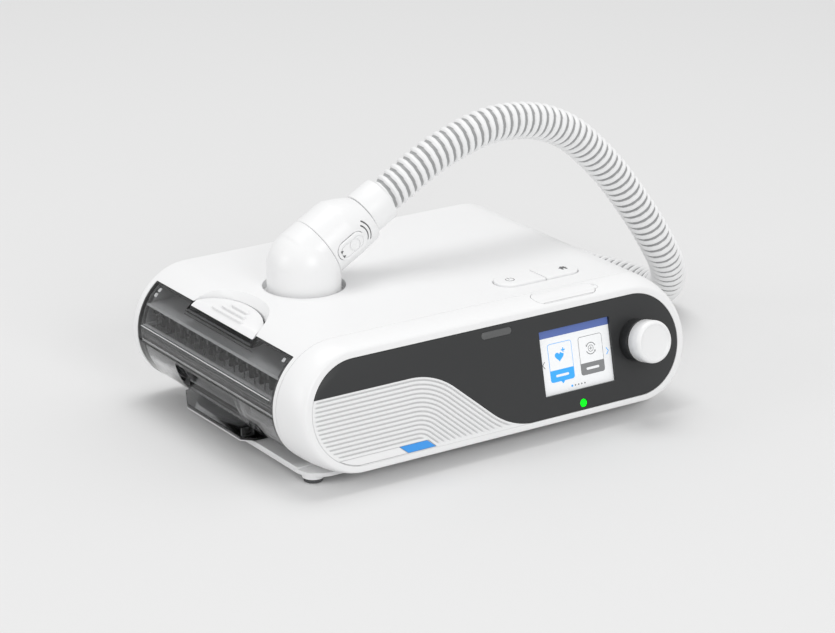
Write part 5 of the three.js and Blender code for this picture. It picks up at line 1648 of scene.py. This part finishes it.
@dataclass
class Display:
    """The lit display: a title bar, two cards with plain signs, arrows and page dots."""

    base: float = -2.6
    layer: float = 0.05
    title_low: float = 17.8
    cards: tuple[Point, Point] = ((39.5, 59.0), (64.5, 84.0))
    card_low: float = -12.5
    card_high: float = 13.5
    card_corner: float = 1.9
    card_edge: float = 0.35
    band_high: float = -4.5
    bars: tuple[Point, Point] = ((44.0, 54.5), (69.0, 79.5))
    bar_v: Point = (-9.3, -7.7)
    heart_place: Point = (48.3, 4.2)
    heart_size: float = 3.6
    plus_place: Point = (51.6, 8.0)
    cycle_place: Point = (74.2, 4.6)
    arrow_v: tuple[float, float, float] = (2.6, 0.3, -2.0)
    arrow_line: float = 0.5
    dots_place: Point = (56.0, -17.3)
    dot_pitch: float = 2.6
    dot_count: int = 5

    def sheet(self, outline: Sequence[Point], level: int) -> BMesh:
        """A thin layer of the picture, at a level counted from the glass."""
        return plate(outline, self.base + 0.02, self.base + 0.04 + self.layer * level, PANEL)

    def cross(self, x: float, y: float, reach: float, width: float) -> list[Point]:
        """A plus sign's outline."""
        w, r = width / 2, reach
        corner = ((w, -r), (w, -w), (r, -w))
        points = []
        for _ in range(4):
            points += [(x + px, y + py) for px, py in corner]
            corner = tuple((-py, px) for px, py in corner)
        return points

    def heart(self, x: float, y: float, size: float) -> list[Point]:
        """A heart's outline."""
        points = []
        for t in (2 * pi * i / 48 for i in range(48)):
            rise = 13 * cos(t) - 5 * cos(2 * t) - 2 * cos(3 * t) - cos(4 * t)
            points.append((x + size * sin(t) ** 3, y + size * rise / 16))
        return points[::-1]

    def cycle(self, x: float, y: float) -> list[BMesh]:
        """Two curved arrows about a ringed plus sign."""
        outlines = []
        for start in (20, 200):
            outlines.append(stroke(arc_points(x, y, 3.9, start, start + 118, 18), 0.55))
            tip = radians(start + 140)
            corners = ((3.1, tip - 0.34), (4.8, tip - 0.34), (3.9, tip))
            outlines.append([(x + r * cos(a), y + r * sin(a)) for r, a in corners])
        outlines.append(stroke(arc_points(x, y, 2.1, 0, 359, 32), 0.4))
        outlines.append(self.cross(x, y, 1.2, 0.4))
        return [self.sheet(outline, 3) for outline in outlines]

    def card_face(self, left: float, right: float) -> BMesh:
        """The pale upper part of a card, with rounded upper corners."""
        radius, edge = self.card_corner, self.card_edge
        high = self.card_high - radius
        return self.sheet(
            [
                (left + edge, self.band_high), (right - edge, self.band_high),
                *arc_points(right - radius, high, radius - edge, 0, 90, 8),
                *arc_points(left + radius, high, radius - edge, 90, 180, 8),
            ],
            2,
        )

    def arrow(self, u: float, reach: float) -> BMesh:
        """An open arrowhead whose tip lies a reach to the side."""
        tips = zip((u, u + reach, u), self.arrow_v)
        return self.sheet(stroke(list(tips), self.arrow_line), 3)

    def show(self, name: str, shapes: Sequence[BMesh], material: Material) -> None:
        """Makes one colour of the picture."""
        piece(name, merged(*shapes), material, Body.HOUSING, "screen")

    def build(self, finishes: Finishes) -> None:
        """Makes the picture layer by layer."""
        left, low, right, high = OPENINGS.screen
        left, right, top = left - GAP, right + GAP, high + GAP
        self.show("display_page", [self.sheet(rounded(left, low - GAP, right, top, GAP), 0)], finishes.page)
        title = self.sheet(rounded(left, self.title_low, right, top, 0.1), 1)
        self.show("display_title_bar", [title], finishes.title)
        blue, grey = (
            self.sheet(rounded(start, self.card_low, end, self.card_high, self.card_corner), 1)
            for start, end in self.cards
        )
        faces = [self.card_face(*card) for card in self.cards]
        middle = sum(self.cards[0]) / 2
        base = self.card_low + 0.2
        pointer = self.sheet([(middle - 1.7, base), (middle, self.card_low - 1.9), (middle + 1.7, base)], 1)
        heart = self.sheet(self.heart(*self.heart_place, self.heart_size), 3)
        plus = self.sheet(self.cross(*self.plus_place, 1.55, 0.8), 5)
        ring = self.sheet(disc(*self.plus_place, 2.2, 24), 4)
        bar_low, bar_high = self.bar_v
        bars = [self.sheet(rounded(start, bar_low, end, bar_high, 0.75), 2) for start, end in self.bars]
        u, v = self.dots_place
        dot = self.sheet(disc(u, v, 0.75, 20), 3)
        dots = [
            self.sheet(disc(u + self.dot_pitch * i, v, 0.55, 16), 3) for i in range(1, self.dot_count)
        ]
        ahead, back = self.arrow(86.6, 1.7), self.arrow(36.0, -1.7)
        self.show("display_card_faces", [*faces, ring, *bars], finishes.page)
        self.show("display_blue_signs", [blue, pointer, heart, plus, ahead, dot], finishes.ink_blue)
        cycle = self.cycle(*self.cycle_place)
        self.show("display_grey_signs", [grey, *cycle, back, *dots], finishes.ink_grey)


@dataclass
class Knob:
    """The dial: a plain dark skirt and a white cap with a dished face."""

    skirt_radius: float = 14.3
    skirt_top: float = 9.0
    neck_radius: float = 11.0
    neck_height: float = 2.4
    radius: float = 14.4
    low: float = 10.2
    top: float = 21.6
    dish_radius: float = 11.7

    def build(self, finishes: Finishes) -> None:
        """Makes the skirt and the cap."""
        bore, neck = OPENINGS.knob_radius, self.neck_radius
        r, h = self.skirt_radius, self.skirt_top
        skirt = [
            (bore, 0.3), (r - 0.3, 0.3), (r, 0.6), (r, h - 0.6), (r - 0.6, h), (neck, h),
            (neck, h + self.neck_height), (bore, h + self.neck_height),
        ]
        r, t, dish = self.radius, self.top, self.dish_radius
        cap = [
            (0, 18.7), (3.3, 18.7), (3.3, 12.3), (5.5, 12.3), (5.5, 19.0), (12.2, 19.0), (12.2, self.low),
            (r - 0.3, self.low), (r, self.low + 0.3), (r, t - 2.6), (r - 0.2, t - 1.8), (r - 0.75, t - 0.95),
            (r - 1.5, t - 0.3), (r - 2.2, t), (dish + 0.3, t - 0.02), (dish - 0.1, t - 0.35),
            (dish - 0.5, t - 0.75), (dish - 2.0, t - 0.95), (0, t - 1.05),
        ]
        frame = PANEL @ Matrix.Translation((*OPENINGS.knob, 0.0))
        for name, profile, finish, body, slot, node, sharp in (
            ("dial_skirt", skirt, finishes.black, Body.HOUSING, "black_plastic", "knob_skirt", 32),
            ("dial_cap", cap, finishes.knob, Body.KNOB, "housing_white", "knob_cap", 50),
        ):
            piece(name, turned(profile, frame, 96), finish, body, slot, (node,), sharp=sharp)


@dataclass
class TopButtons:
    """The two halves of the button bar, each with a plain sign."""

    housing: Housing
    low_z: float = 36.0
    rise_z: float = 43.6
    gap_shade_z: Point = (40.6, 40.8)
    split_x: float = 66.0
    play: float = 0.15
    sign: float = 0.06
    line: float = 0.55
    power_place: Point = (43.5, 53.6)
    home_place: Point = (87.2, 53.6)
    home_outline: tuple[Point, ...] = (
        (-2.3, -2.8), (-0.7, -2.8), (-0.7, -0.9), (0.7, -0.9), (0.7, -2.8), (2.3, -2.8), (2.3, 0.1),
        (3.5, 0.1), (2.4, 1.1), (2.4, 2.5), (1.4, 2.5), (1.4, 2.1), (0.0, 3.3), (-3.5, 0.1), (-2.3, 0.1),
    )

    def outline(self, grow: float) -> list[Point]:
        """The bar's outline from above, grown by a margin."""
        half_x, half_y = self.housing.button_half
        return stadium(half_x + grow, half_y + grow, 36, *self.housing.button_middle)

    def cap(self, left: float, right: float) -> BMesh:
        """What the bar has between two sides."""
        bar = plate(self.outline(-self.play), self.low_z, self.rise_z, bevel=0.8, segments=5)
        return carved(bar, common=[level(0, FAR, left, right)])

    def build(self, finishes: Finishes) -> None:
        """Makes the two buttons, a dark sheet of painted shade under the bar's gap, and their signs."""
        for name, left, right, body, node in (
            ("power_cap", -FAR, self.split_x - GAP, Body.POWER, "power_button"),
            ("home_cap", self.split_x + GAP, FAR, Body.HOME, "home_button"),
        ):
            shape = self.cap(left, right)
            piece(name, shape, finishes.housing, body, "housing_white", (node,), rounding=0.25)
        # Painted shade: a dark sheet under the bar shows as a dark line in the gap round it.
        gap_shade = plate(self.outline(GAP - 0.02), *self.gap_shade_z)
        low, high = self.rise_z - 0.02, self.rise_z + self.sign
        x, y = self.power_place
        ring = plate(stroke(arc_points(x, y, 2.9, 122, 418, 36), self.line), low, high)
        stem = plate(stroke([(x, y + 0.6), (x, y + 3.7)], self.line), low, high)
        x, y = self.home_place
        house = plate([(x + dx, y + dy) for dx, dy in self.home_outline], low, high)
        for name, shape, body in (
            ("button_gap_shade", gap_shade, Body.HOUSING),
            ("power_sign", merged(ring, stem), Body.POWER),
            ("home_sign", house, Body.HOME),
        ):
            piece(name, shape, finishes.icon, body, "black_plastic")


# Humidifier chamber


@dataclass
class Chamber:
    """The smoked water chamber: lid, tub, seal, baffles and the lines that edge them."""

    housing: Housing
    front_y: float = 31.8
    back_y: float = 209.7
    inner_x: float = -92.3
    wall: float = 2.4
    lid_low: float = -6.0
    lid_top: float = 32.7
    tub_top: float = -6.3
    tub_low: float = -40.3
    rim_top: float = 3.0
    rim_inset: float = 3.0
    seal_height: float = 2.4
    shelf: Place = (24.8, 41.3, 27.9)
    shelf_under: Place = (26.9, 43.4, 25.5)
    grip: Place = (-176.0, -21.0, 33.0)
    grip_reach: Point = (82.0, 160.0)
    lip_reach: Point = (80.0, 180.0)
    lip_outer: float = -148.0
    lip_inner: float = -120.0
    lip_top: float = -37.5
    web_size: Place = (9.0, 1.2, 6.0)
    fin_count: int = 12
    fin_pitch: float = 12.9
    fin_first: float = 48.0
    fin_thickness: float = 1.2
    fin_outer_x: float = -146.0
    fin_inner_x: float = -98.0
    fin_top: float = 17.0
    comb_top: float = 17.2
    hook_blocks: tuple[tuple[Place, Place], ...] = (
        ((-147.4, -0.8, 13.6), (-144.6, 2.0, 17.6)),
        ((-149.4, 2.0, 15.8), (-147.2, 5.8, 17.6)),
        ((-150.0, -0.5, 7.5), (-149.4, 0.5, 15.8)),
    )
    deck_z: Point = (17.7, 19.3)

    def solid(self, low: float, high: float, cut: Sequence[BMesh]) -> BMesh:
        """The chamber's outside between two heights, less what cuts it."""
        return carved(
            self.housing.bar(GAP, self.front_y, self.back_y),
            common=[level(low, high, right=self.inner_x)],
            cut=cut,
        )

    def room(self, clearance: float, low: float, high: float) -> BMesh:
        """The room inside the walls, drawn in further by a clearance."""
        inset = self.wall + clearance
        return carved(
            self.housing.bar(GAP + inset, self.front_y + inset, self.back_y - inset),
            common=[level(low, high, right=self.inner_x - inset)],
        )

    def ledge(self, reach: float, half_length: float, low: float) -> BMesh:
        """The latch's shelf as a block that is open upwards."""
        return loft([self.housing.thumb(reach, half_length, z) for z in (low, ABOVE)])

    def lid(self) -> BMesh:
        """The lid, hollow, with the latch's shelf and the air holes."""
        inside = carved(
            self.room(0, self.lid_low - PAST, self.lid_top - self.wall), cut=[self.ledge(*self.shelf_under)]
        )
        bore, window = self.housing.air_ways(self.inner_x - 2 * WALL, self.inner_x + 2 * WALL)
        return self.solid(self.lid_low, self.lid_top, [self.ledge(*self.shelf), inside, window, bore])

    def grip_block(self, grow: float) -> BMesh:
        """The finger recess of the tub, a round-backed channel under a roof."""
        x, z, radius = self.grip
        front, back = self.grip_reach
        return carved(
            plate(disc(x, z, radius + grow, 96), -(back + grow), -(front - grow), UPRIGHT),
            common=[level(-FAR, self.tub_top - self.wall + grow, left=-2 * FAR)],
        )

    def lip_plan(self, draw: float = 0.0) -> list[Point]:
        """The pull lip's outline from above, with its outer edge drawn in by an amount."""
        outer, inner = self.lip_outer + draw, self.lip_inner
        front, back = self.lip_reach
        return [
            (inner, front), (outer + 6, front), (outer, front + 6), (outer, back - 24), (outer + 12, back),
            (inner, back),
        ]

    def tub(self) -> BMesh:
        """The tub with its finger recess, rim and pull lip."""
        over, inset = self.rim_top + PAST, self.rim_inset
        body = self.solid(self.tub_low, self.tub_top, [self.grip_block(0)])
        rim = carved(
            self.room(GAP, self.tub_top - self.wall, self.rim_top),
            cut=[self.room(inset, self.tub_top - 2 * self.wall, over)],
        )
        inside = carved(self.room(inset, self.tub_low + self.wall, over), cut=[self.grip_block(self.wall)])
        lip = plate(self.lip_plan(), self.tub_low, self.lip_top, bevel=0.7, segments=3)
        return carved(body, join=[rim, lip], cut=[inside])

    def deck(self) -> BMesh:
        """The deck over the baffles, clear of the latch's shelf."""
        return carved(self.room(0.2, *self.deck_z), cut=[self.ledge(*self.shelf_under)])

    def seal(self) -> BMesh:
        """The ring between the tub's rim and the lid."""
        low, top = self.rim_top, self.rim_top + self.seal_height
        return carved(
            self.room(GAP, low + GAP, low + GAP + self.seal_height),
            cut=[self.room(self.rim_inset, low - PAST, top + PAST)],
        )

    def fin_places(self) -> list[float]:
        """The depths of the baffles' front faces."""
        return [self.fin_first + i * self.fin_pitch for i in range(self.fin_count)]

    def comb(self) -> BMesh:
        """The row of baffles and the rail that carries them."""
        low = self.rim_top + self.seal_height + 2 * GAP
        inner = self.fin_inner_x
        outline = rounded(self.fin_outer_x, low, inner, self.fin_top, 1.4, 4)
        plates = [plate(outline, -(y + self.fin_thickness), -y, UPRIGHT) for y in self.fin_places()]
        rail = box((inner - 3, self.front_y + 3, low), (inner, self.back_y - 3, low + 3))
        room = carved(self.room(GAP, low, self.comb_top), cut=[self.ledge(*self.shelf_under)])
        return carved(merged(*plates), join=[rail], common=[room])

    def comb_shade_sheet(self) -> BMesh:
        """A thin dark sheet behind the baffles, painted shade for the dark room inside the chamber."""
        inner = self.fin_inner_x
        low = (inner, self.front_y + 3, self.rim_top + 3.0)
        return box(low, (inner + 0.5, self.back_y - 3, self.comb_top))

    def hooks(self) -> BMesh:
        """The small dark hooks that hang each baffle from the deck."""
        return merged(*(
            box((low[0], y + low[1], low[2]), (high[0], y + high[1], high[2]))
            for y in self.fin_places()
            for low, high in self.hook_blocks
        ))

    def strip(self, angles: Point, depths: Point, front: float, back: float) -> BMesh:
        """A strip along the chamber that follows its round side.

        Args:
            angles: Where its two edges lie, in degrees above the middle.
            depths: Where its two faces lie, past the chamber's side.
            front: Where it starts.
            back: Where it ends.

        Returns:
            The closed strip.
        """
        house = self.housing
        middle = house.half_height - house.half_width
        low, high = (180 - angle for angle in angles)
        inner, outer = (house.half_height - GAP + depth for depth in depths)
        outline = [*arc_points(middle, 0, outer, high, low, 12), *arc_points(middle, 0, inner, low, high, 12)]
        return plate(outline, -back, -front, UPRIGHT)

    def end_strips(self, angles: Point, depths: Point, near: float, far: float) -> list[BMesh]:
        """A strip at each end of the chamber, between two distances from that end."""
        front, back = self.front_y, self.back_y
        return [
            self.strip(angles, depths, front + near, front + far),
            self.strip(angles, depths, back - far, back - near),
        ]

    def frames(self) -> BMesh:
        """The dark frames at both ends and the thin dark lines along the side."""
        front, back, scoop = self.front_y, self.back_y, self.housing.scoop[1]
        skin, inside = (-1.0, 0.03), (-3.4, -2.5)
        return merged(
            *self.end_strips((-62, 51), (-4.4, -2.5), 2.6, 4.2),
            *self.end_strips((-62, 51), skin, 0.02, 0.8),
            self.strip((-9.6, -8.9), (-0.8, 0.03), front + 1, back - 1),
            self.strip((50.4, 51.2), skin, front + 1, scoop - 43),
            self.strip((50.4, 51.2), skin, scoop + 43, back - 1),
            self.strip((2.6, 4.4), inside, front + 3, back - 3),
            self.strip((-1.2, -0.4), inside, front + 3, back - 3),
        )

    def frame_windows(self) -> BMesh:
        """The pale windows in the end frames."""
        front, back = self.front_y, self.back_y
        return merged(*(
            self.strip((angle, angle + 4), (-2.7, -2.45), y, y + 3.0)
            for angle, y in ((44, front + 6.5), (44, back - 9.5), (38, back - 9.0))
        ))

    def bright_lines(self) -> BMesh:
        """The bright line along the seam and the bright rim of the lip."""
        line = self.strip((6.85, 7.3), (-1.2, 0.1), self.front_y + 5, self.back_y - 4)
        low = self.tub_low
        rim = plate(self.lip_plan(-0.05), low, low + 0.6)
        return merged(line, carved(rim, cut=[plate(self.lip_plan(0.9), low - 1, low + 1)]))

    def web(self) -> tuple[BMesh, BMesh]:
        """The small web on the lip, and the dark bars that edge it."""
        x, y, z = self.lip_outer + 0.6, self.lip_reach[0] + 4.6, self.lip_top - 0.1
        long, thick, high = self.web_size
        upright = box((x - 0.05, y - 0.1, z), (x + 0.75, y + thick + 0.1, z + high + 0.1))
        flat = box((x - 0.05, y - 0.12, z - 0.1), (x + long, y + thick + 0.1, z + 0.7))
        return box((x, y, z), (x + long, y + thick, z + high)), merged(upright, flat)

    def build(self, finishes: Finishes) -> None:
        """Makes the chamber's pieces."""
        smoke = "chamber_smoke"
        web, web_edges = self.web()
        for name, shape, finish, slot, nodes, rounding in (
            ("smoked_lid", self.lid(), finishes.smoke, smoke, ("chamber_lid",), 0.25),
            ("smoked_tub", self.tub(), finishes.tub, smoke, ("chamber_tub",), 0.25),
            ("lid_deck", self.deck(), finishes.ledge, smoke, (), 0.2),
            ("ring_seal", self.seal(), finishes.seal, "seal_rubber", ("chamber_seal",), 0.4),
            # Painted shade: a dark sheet behind the baffles.
            ("baffle_shade_sheet", self.comb_shade_sheet(), finishes.fin_and_shade, smoke, (), 0.0),
            ("baffles", self.comb(), finishes.black, "fin_grey", ("chamber_fins",), 0.15),
            ("baffle_hooks", self.hooks(), finishes.black, smoke, (), 0.15),
            ("bright_seam", self.bright_lines(), finishes.clear_edge, smoke, (), 0.0),
            ("lip_web", web, finishes.tub, smoke, (), 0.15),
            ("lip_web_edges", web_edges, finishes.fin_and_shade, smoke, (), 0.0),
            ("end_frames", self.frames(), finishes.fin_and_shade, smoke, (), 0.0),
            ("frame_windows", self.frame_windows(), finishes.clear_edge, smoke, (), 0.0),
        ):
            piece(name, shape, finish, Body.CHAMBER, slot, nodes, rounding=rounding)


@dataclass
class Latch:
    """The white press tab in the thumb recess, with three raised bars."""

    chamber: Chamber
    front_x: float = -141.73
    front_z: float = 30.6
    slope: float = radians(10)
    reach: float = 23.5
    half_length: float = 40.0
    depth: float = 2.6
    bar_first: float = 5.8
    bar_pitch: float = 5.0
    bar_width: float = 2.5
    bar_height: float = 1.9
    bar_lengths: tuple[float, ...] = (38.0, 29.0, 20.0)

    def tab(self, frame: Matrix) -> BMesh:
        """The tab with its bars, in the frame that slopes with it."""
        bend = [
            (-0.27 + self.reach * cos(t), self.half_length * sin(t))
            for t in (pi * (i / 48 - 0.5) for i in range(49))
        ]
        outline = [(-12, -self.half_length), *bend, (-12, self.half_length)]
        slab = plate(outline, 0, self.depth, frame, bevel=0.35, segments=3)
        bars = []
        for i, length in enumerate(self.bar_lengths):
            x = self.bar_first + i * self.bar_pitch
            outline = [(x + b, a) for a, b in stadium(length / 2, self.bar_width / 2, 10)][::-1]
            low, high = self.depth - 0.4, self.depth + self.bar_height
            bars.append(plate(outline, low, high, frame, bevel=0.5, segments=4))
        house = self.chamber.housing
        bound = house.bar(GAP, house.bay_front_y, house.bay_back_y)
        return merged(carved(slab, common=[bound]), *bars)

    def build(self, finishes: Finishes) -> None:
        """Makes the tab and a dark strip of painted shade under its front edge."""
        y = self.chamber.housing.scoop[1]
        frame = Matrix.Translation((self.front_x, y, self.front_z)) @ Matrix.Rotation(-self.slope, 4, "Y")
        # Painted shade: dark strips on the chamber's side under the tab's front edge.
        lip = merged(
            self.chamber.strip((41.2, 43.4), (-1.6, 0.1), y - 42.5, y + 41.0),
            self.chamber.strip((37.5, 38.3), (-2.0, 0.1), y - 46.0, y + 41.0),
        )
        piece(
            "press_tab", self.tab(frame), finishes.housing, Body.LATCH, "housing_white", ("chamber_latch",),
            rounding=0.2,
        )
        piece("latch_edge_shade", lip, finishes.fin_and_shade, Body.CHAMBER, "chamber_smoke", rounding=0.3)


# Elbow


@dataclass
class Elbow:
    """The swivel elbow: a domed base, the sloped outlet, its release tab and the hose's cuff."""

    radius: float = 25.0
    low_z: float = 36.9
    sleeve_radius: float = 22.4
    rise: float = 3.4
    seam: float = 14.0
    bore: float = 10.5
    socket_radius: float = 15.2
    spigot_radius: float = 12.9
    profile: tuple[Place, ...] = (
        (14.3, 21.9, 3.4), (14.8, 22.4, 3.4), (33.8, 22.4, 3.4), (35.4, 22.3, 3.3), (36.8, 22.05, 3.02),
        (44.35, 20.0, 1.0), (50.2, 18.05, -0.95), (51.4, 17.4, -1.6), (52.4, 16.9, -1.6), (53.0, 15.9, -1.6),
    )
    pill: Extent = (-7.4, 16.8, 5.4, 39.5)
    pill_radius: float = 6.4
    pill_low: float = 18.4
    well_low: float = 16.9
    face: float = 23.4
    moat_inset: float = 1.9
    moat_width: float = 0.55
    cuff_profile: tuple[Point, ...] = (
        (9.4, 45.3), (12.6, 45.3), (12.6, 53.3), (15.2, 53.3), (15.6, 53.5), (15.7, 53.9), (15.7, 70.5),
        (15.5, 71.1), (15.0, 71.3), (13.4, 71.3), (13.2, 70.9), (13.2, 69.0), (9.4, 69.0),
    )
    seam_shade_profile: tuple[Point, ...] = ((20.6, 13.9), (21.75, 13.9), (21.75, 14.4), (20.6, 14.4))

    def outlet_skin(self, shrink: float = 0.0) -> BMesh:
        """The outlet's outside, drawn in by an amount."""
        rings = [
            [Vector((x - rise, y, along)) for x, y in disc(0, 0, radius - shrink, 96)]
            for along, radius, rise in self.profile
        ]
        return loft(rings, OUTLET)

    def base(self) -> BMesh:
        """The domed base with its soft sleeve, hollow."""
        x, y = PORT
        upright = plate(disc(x, y, self.radius, 96), self.low_z - 4, OUTLET_Z)
        dome = bmesh.new()
        middle = Matrix.Translation((x, y, OUTLET_Z))
        bmesh.ops.create_uvsphere(dome, u_segments=96, v_segments=48, radius=self.radius, matrix=middle)
        sleeve = plate(disc(-self.rise, 0, self.sleeve_radius, 96), 0, self.seam + 4, OUTLET)
        body = carved(upright, join=[dome, sleeve], remesh=0.75, relax=14)
        reach = 80.0
        past_seam = box((-reach, -reach, self.seam), (reach, reach, reach))
        bmesh.ops.transform(past_seam, matrix=OUTLET, verts=past_seam.verts)
        return carved(
            body,
            cut=[
                past_seam,
                box((x - reach, y - reach, -reach), (x + reach, y + reach, self.low_z)),
                plate(disc(x, y, self.socket_radius), 30, 49),
                plate(disc(x, y, self.bore), 48, OUTLET_Z),
                plate(disc(0, 0, self.bore), -1, reach, OUTLET),
            ],
        )

    def pill_outline(self, grow: float) -> list[Point]:
        """The release tab's outline, grown by a margin."""
        left, start, right, end = self.pill
        return rounded(left - grow, start - grow, right + grow, end + grow, self.pill_radius + grow, 16)

    def outlet(self) -> BMesh:
        """The outlet with the release tab's well and the two curved grip grooves."""
        cuts = [
            plate(disc(0, 0, self.bore), 0, 80, OUTLET),
            plate(disc(0, 0, self.spigot_radius, 64), 44.7, 80, OUTLET),
            plate(self.pill_outline(GAP), self.well_low, 40, OUTLET_SIDE),
            *(carved(arc, cut=[self.outlet_skin(1.1)]) for arc in self.grip_arcs(0.95)),
        ]
        return carved(self.outlet_skin(), cut=cuts)

    def grip_arcs(self, width: float) -> list[BMesh]:
        """Two curved strokes past the release tab, as blocks that stand through the outlet's side."""
        left, _, right, end = self.pill
        middle = ((left + right) / 2, end - self.pill_radius)
        return [
            plate(stroke(arc_points(*middle, radius, 52, 128, 20), width), 10, 40, OUTLET_SIDE)
            for radius in (10.2, 13.0)
        ]

    def release(self) -> BMesh:
        """The release tab with its moat, ring and round pad."""
        left, start, right, end = self.pill
        face, side = self.face, OUTLET_SIDE
        tab = plate(self.pill_outline(0), self.pill_low, face, side, bevel=1.1, segments=5)
        outer, inner = (self.pill_outline(-self.moat_inset - width) for width in (0, self.moat_width))
        moat = carved(plate(outer, face - 0.5, face + 1, side), cut=[plate(inner, face - 1, face + 2, side)])
        middle = side @ Matrix.Translation(((left + right) / 2, (start + end) / 2 + 2.0, 0))
        ring_radius = self.pill_radius - self.moat_inset
        inside, outside = ring_radius - 0.9, ring_radius - 0.2
        low, high = face - 0.55, face + 1
        ring = turned([(inside, low), (outside, low), (outside, high), (inside, high)], middle, 48)
        pad = [
            (0, face - 1), (3.5, face - 1), (3.5, face), (3.2, face + 0.3), (2.7, face + 0.3),
            (2.3, face + 0.08), (0, face - 0.02),
        ]
        return merged(carved(tab, cut=[moat, ring]), turned(pad, middle, 48))

    def marks(self) -> BMesh:
        """The two small arrowheads at the release tab's lower end."""
        low, high = self.face - 0.3, self.face + 0.12
        return merged(*(
            plate([(x - 1.1, 18.9), (x + 1.1, 18.9), (x, 21.0)], low, high, OUTLET_SIDE) for x in (-2.9, 0.9)
        ))

    def strokes(self) -> BMesh:
        """The dark lines in the two grip grooves."""
        return merged(*(
            carved(arc, common=[self.outlet_skin(0.5)], cut=[self.outlet_skin(1.0)])
            for arc in self.grip_arcs(0.9)
        ))

    def build(self, finishes: Finishes) -> None:
        """Makes the elbow's pieces."""
        white, dark, cuff = "housing_white", "black_plastic", "cuff_white"
        # Painted shade: a dark ring in the seam between dome and outlet shows as a dark line in the gap.
        seam_shade_ring = turned(self.seam_shade_profile, OUTLET @ Matrix.Translation((-self.rise, 0, 0)), 72)
        hose_cuff = turned(self.cuff_profile, OUTLET, 96)
        elbow, release = Body.ELBOW, Body.RELEASE
        piece("seam_shade_ring", seam_shade_ring, finishes.black, elbow, dark)
        piece("elbow_dome", self.base(), finishes.elbow, elbow, white, ("elbow_base",), sharp=40)
        piece("elbow_neck", self.outlet(), finishes.elbow, elbow, white, ("elbow_outlet",), rounding=0.2)
        piece("grip_strokes", self.strokes(), finishes.icon, elbow, dark)
        piece("release_tab", self.release(), finishes.cuff, release, cuff, ("elbow_release",))
        piece("release_marks", self.marks(), finishes.icon, release, dark)
        piece("hose_neck_cuff", hose_cuff, finishes.cuff, elbow, cuff, ("hose_cuff",))


# Rear and inside


@dataclass
class Rear:
    """The rear fittings: the louvred filter cover and the power inlet."""

    housing: Housing
    louvre_count: int = 6
    louvre_pitch: float = 5.0
    louvre_height: float = 2.2
    louvre_margin: float = 7.0
    cover_y: Point = (214.0, 218.0)
    socket_profile: tuple[Point, ...] = (
        (0, 204.3), (6, 204.3), (6, 216.8), (8, 216.8), (8, 217.6), (7.6, 218), (3.5, 218), (3.2, 217.7),
        (3.2, 206.8), (1, 206.8), (1, 214.6), (0.7, 215), (0, 215),
    )

    def cover(self) -> BMesh:
        """The filter's cover with its row of slots."""
        house = self.housing
        left, low, right, high = house.filter_box
        middle, half_width = (left + right) / 2, (right - left) / 2 - self.louvre_margin
        first = (low + high) / 2 - (self.louvre_count - 1) * self.louvre_pitch / 2
        places = (first + i * self.louvre_pitch for i in range(self.louvre_count))
        slots = [stadium(half_width, self.louvre_height / 2, 10, middle, z) for z in places]
        inner, outer = self.cover_y
        return carved(
            plate(house.filter_outline(-GAP), -outer, -inner, UPRIGHT),
            common=[house.barrel(0, house.seam_y, house.back_y, house.back_radius)],
            cut=[plate(slot, -DEEP, -200, UPRIGHT) for slot in slots],
        )

    def build(self, finishes: Finishes) -> None:
        """Makes the rear fittings."""
        piece(
            "louvred_cover", self.cover(), finishes.housing, Body.FILTER, "housing_white", ("filter_cover",),
            rounding=0.35,
        )
        socket = turned(self.socket_profile, self.housing.inlet_frame())
        piece("socket_insert", socket, finishes.black, Body.HOUSING, "black_plastic", ("power_inlet",))


@dataclass
class InnerParts:
    """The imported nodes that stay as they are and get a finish."""

    def build(self, finishes: Finishes, nodes: dict[str, Object]) -> None:
        """Gives each node that still shows its material.

        Args:
            finishes: The materials.
            nodes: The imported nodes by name.
        """
        looks = {
            "screen": finishes.window,
            "board": finishes.board,
            "screw": finishes.metal,
            "shaft": finishes.metal,
            "encoder_body": finishes.metal,
            "heater_plate": finishes.metal,
            "motor": finishes.metal,
            "seal": finishes.seal,
            "filter": finishes.felt,
            "duct": finishes.panel,
            "impeller": finishes.panel,
            "hose_end_cuff": finishes.cuff,
            "memory_card": finishes.tab,
        }
        for name, node in nodes.items():
            if node.hide_render:
                continue
            material = next((m for key, m in looks.items() if key in name), finishes.black)
            node.data.materials.clear()
            node.data.materials.append(material)
            log.info("%s keeps its solid in %s", name, material.name)


def main() -> None:
    """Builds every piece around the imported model."""
    logging.basicConfig(level=logging.INFO, format="%(message)s")
    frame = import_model()
    Studio().build()
    finishes = Finishes()
    BreathingHose().build(finishes)
    housing = Housing()
    chamber = Chamber(housing)
    for part in (
        housing,
        FrontCover(housing),
        FrontPanel(),
        Display(),
        Knob(),
        TopButtons(housing),
        chamber,
        Latch(chamber),
        Elbow(),
        Rear(housing),
    ):
        part.build(finishes)
    InnerParts().build(finishes, frame["nodes"])


if __name__ == "__main__":
    main()
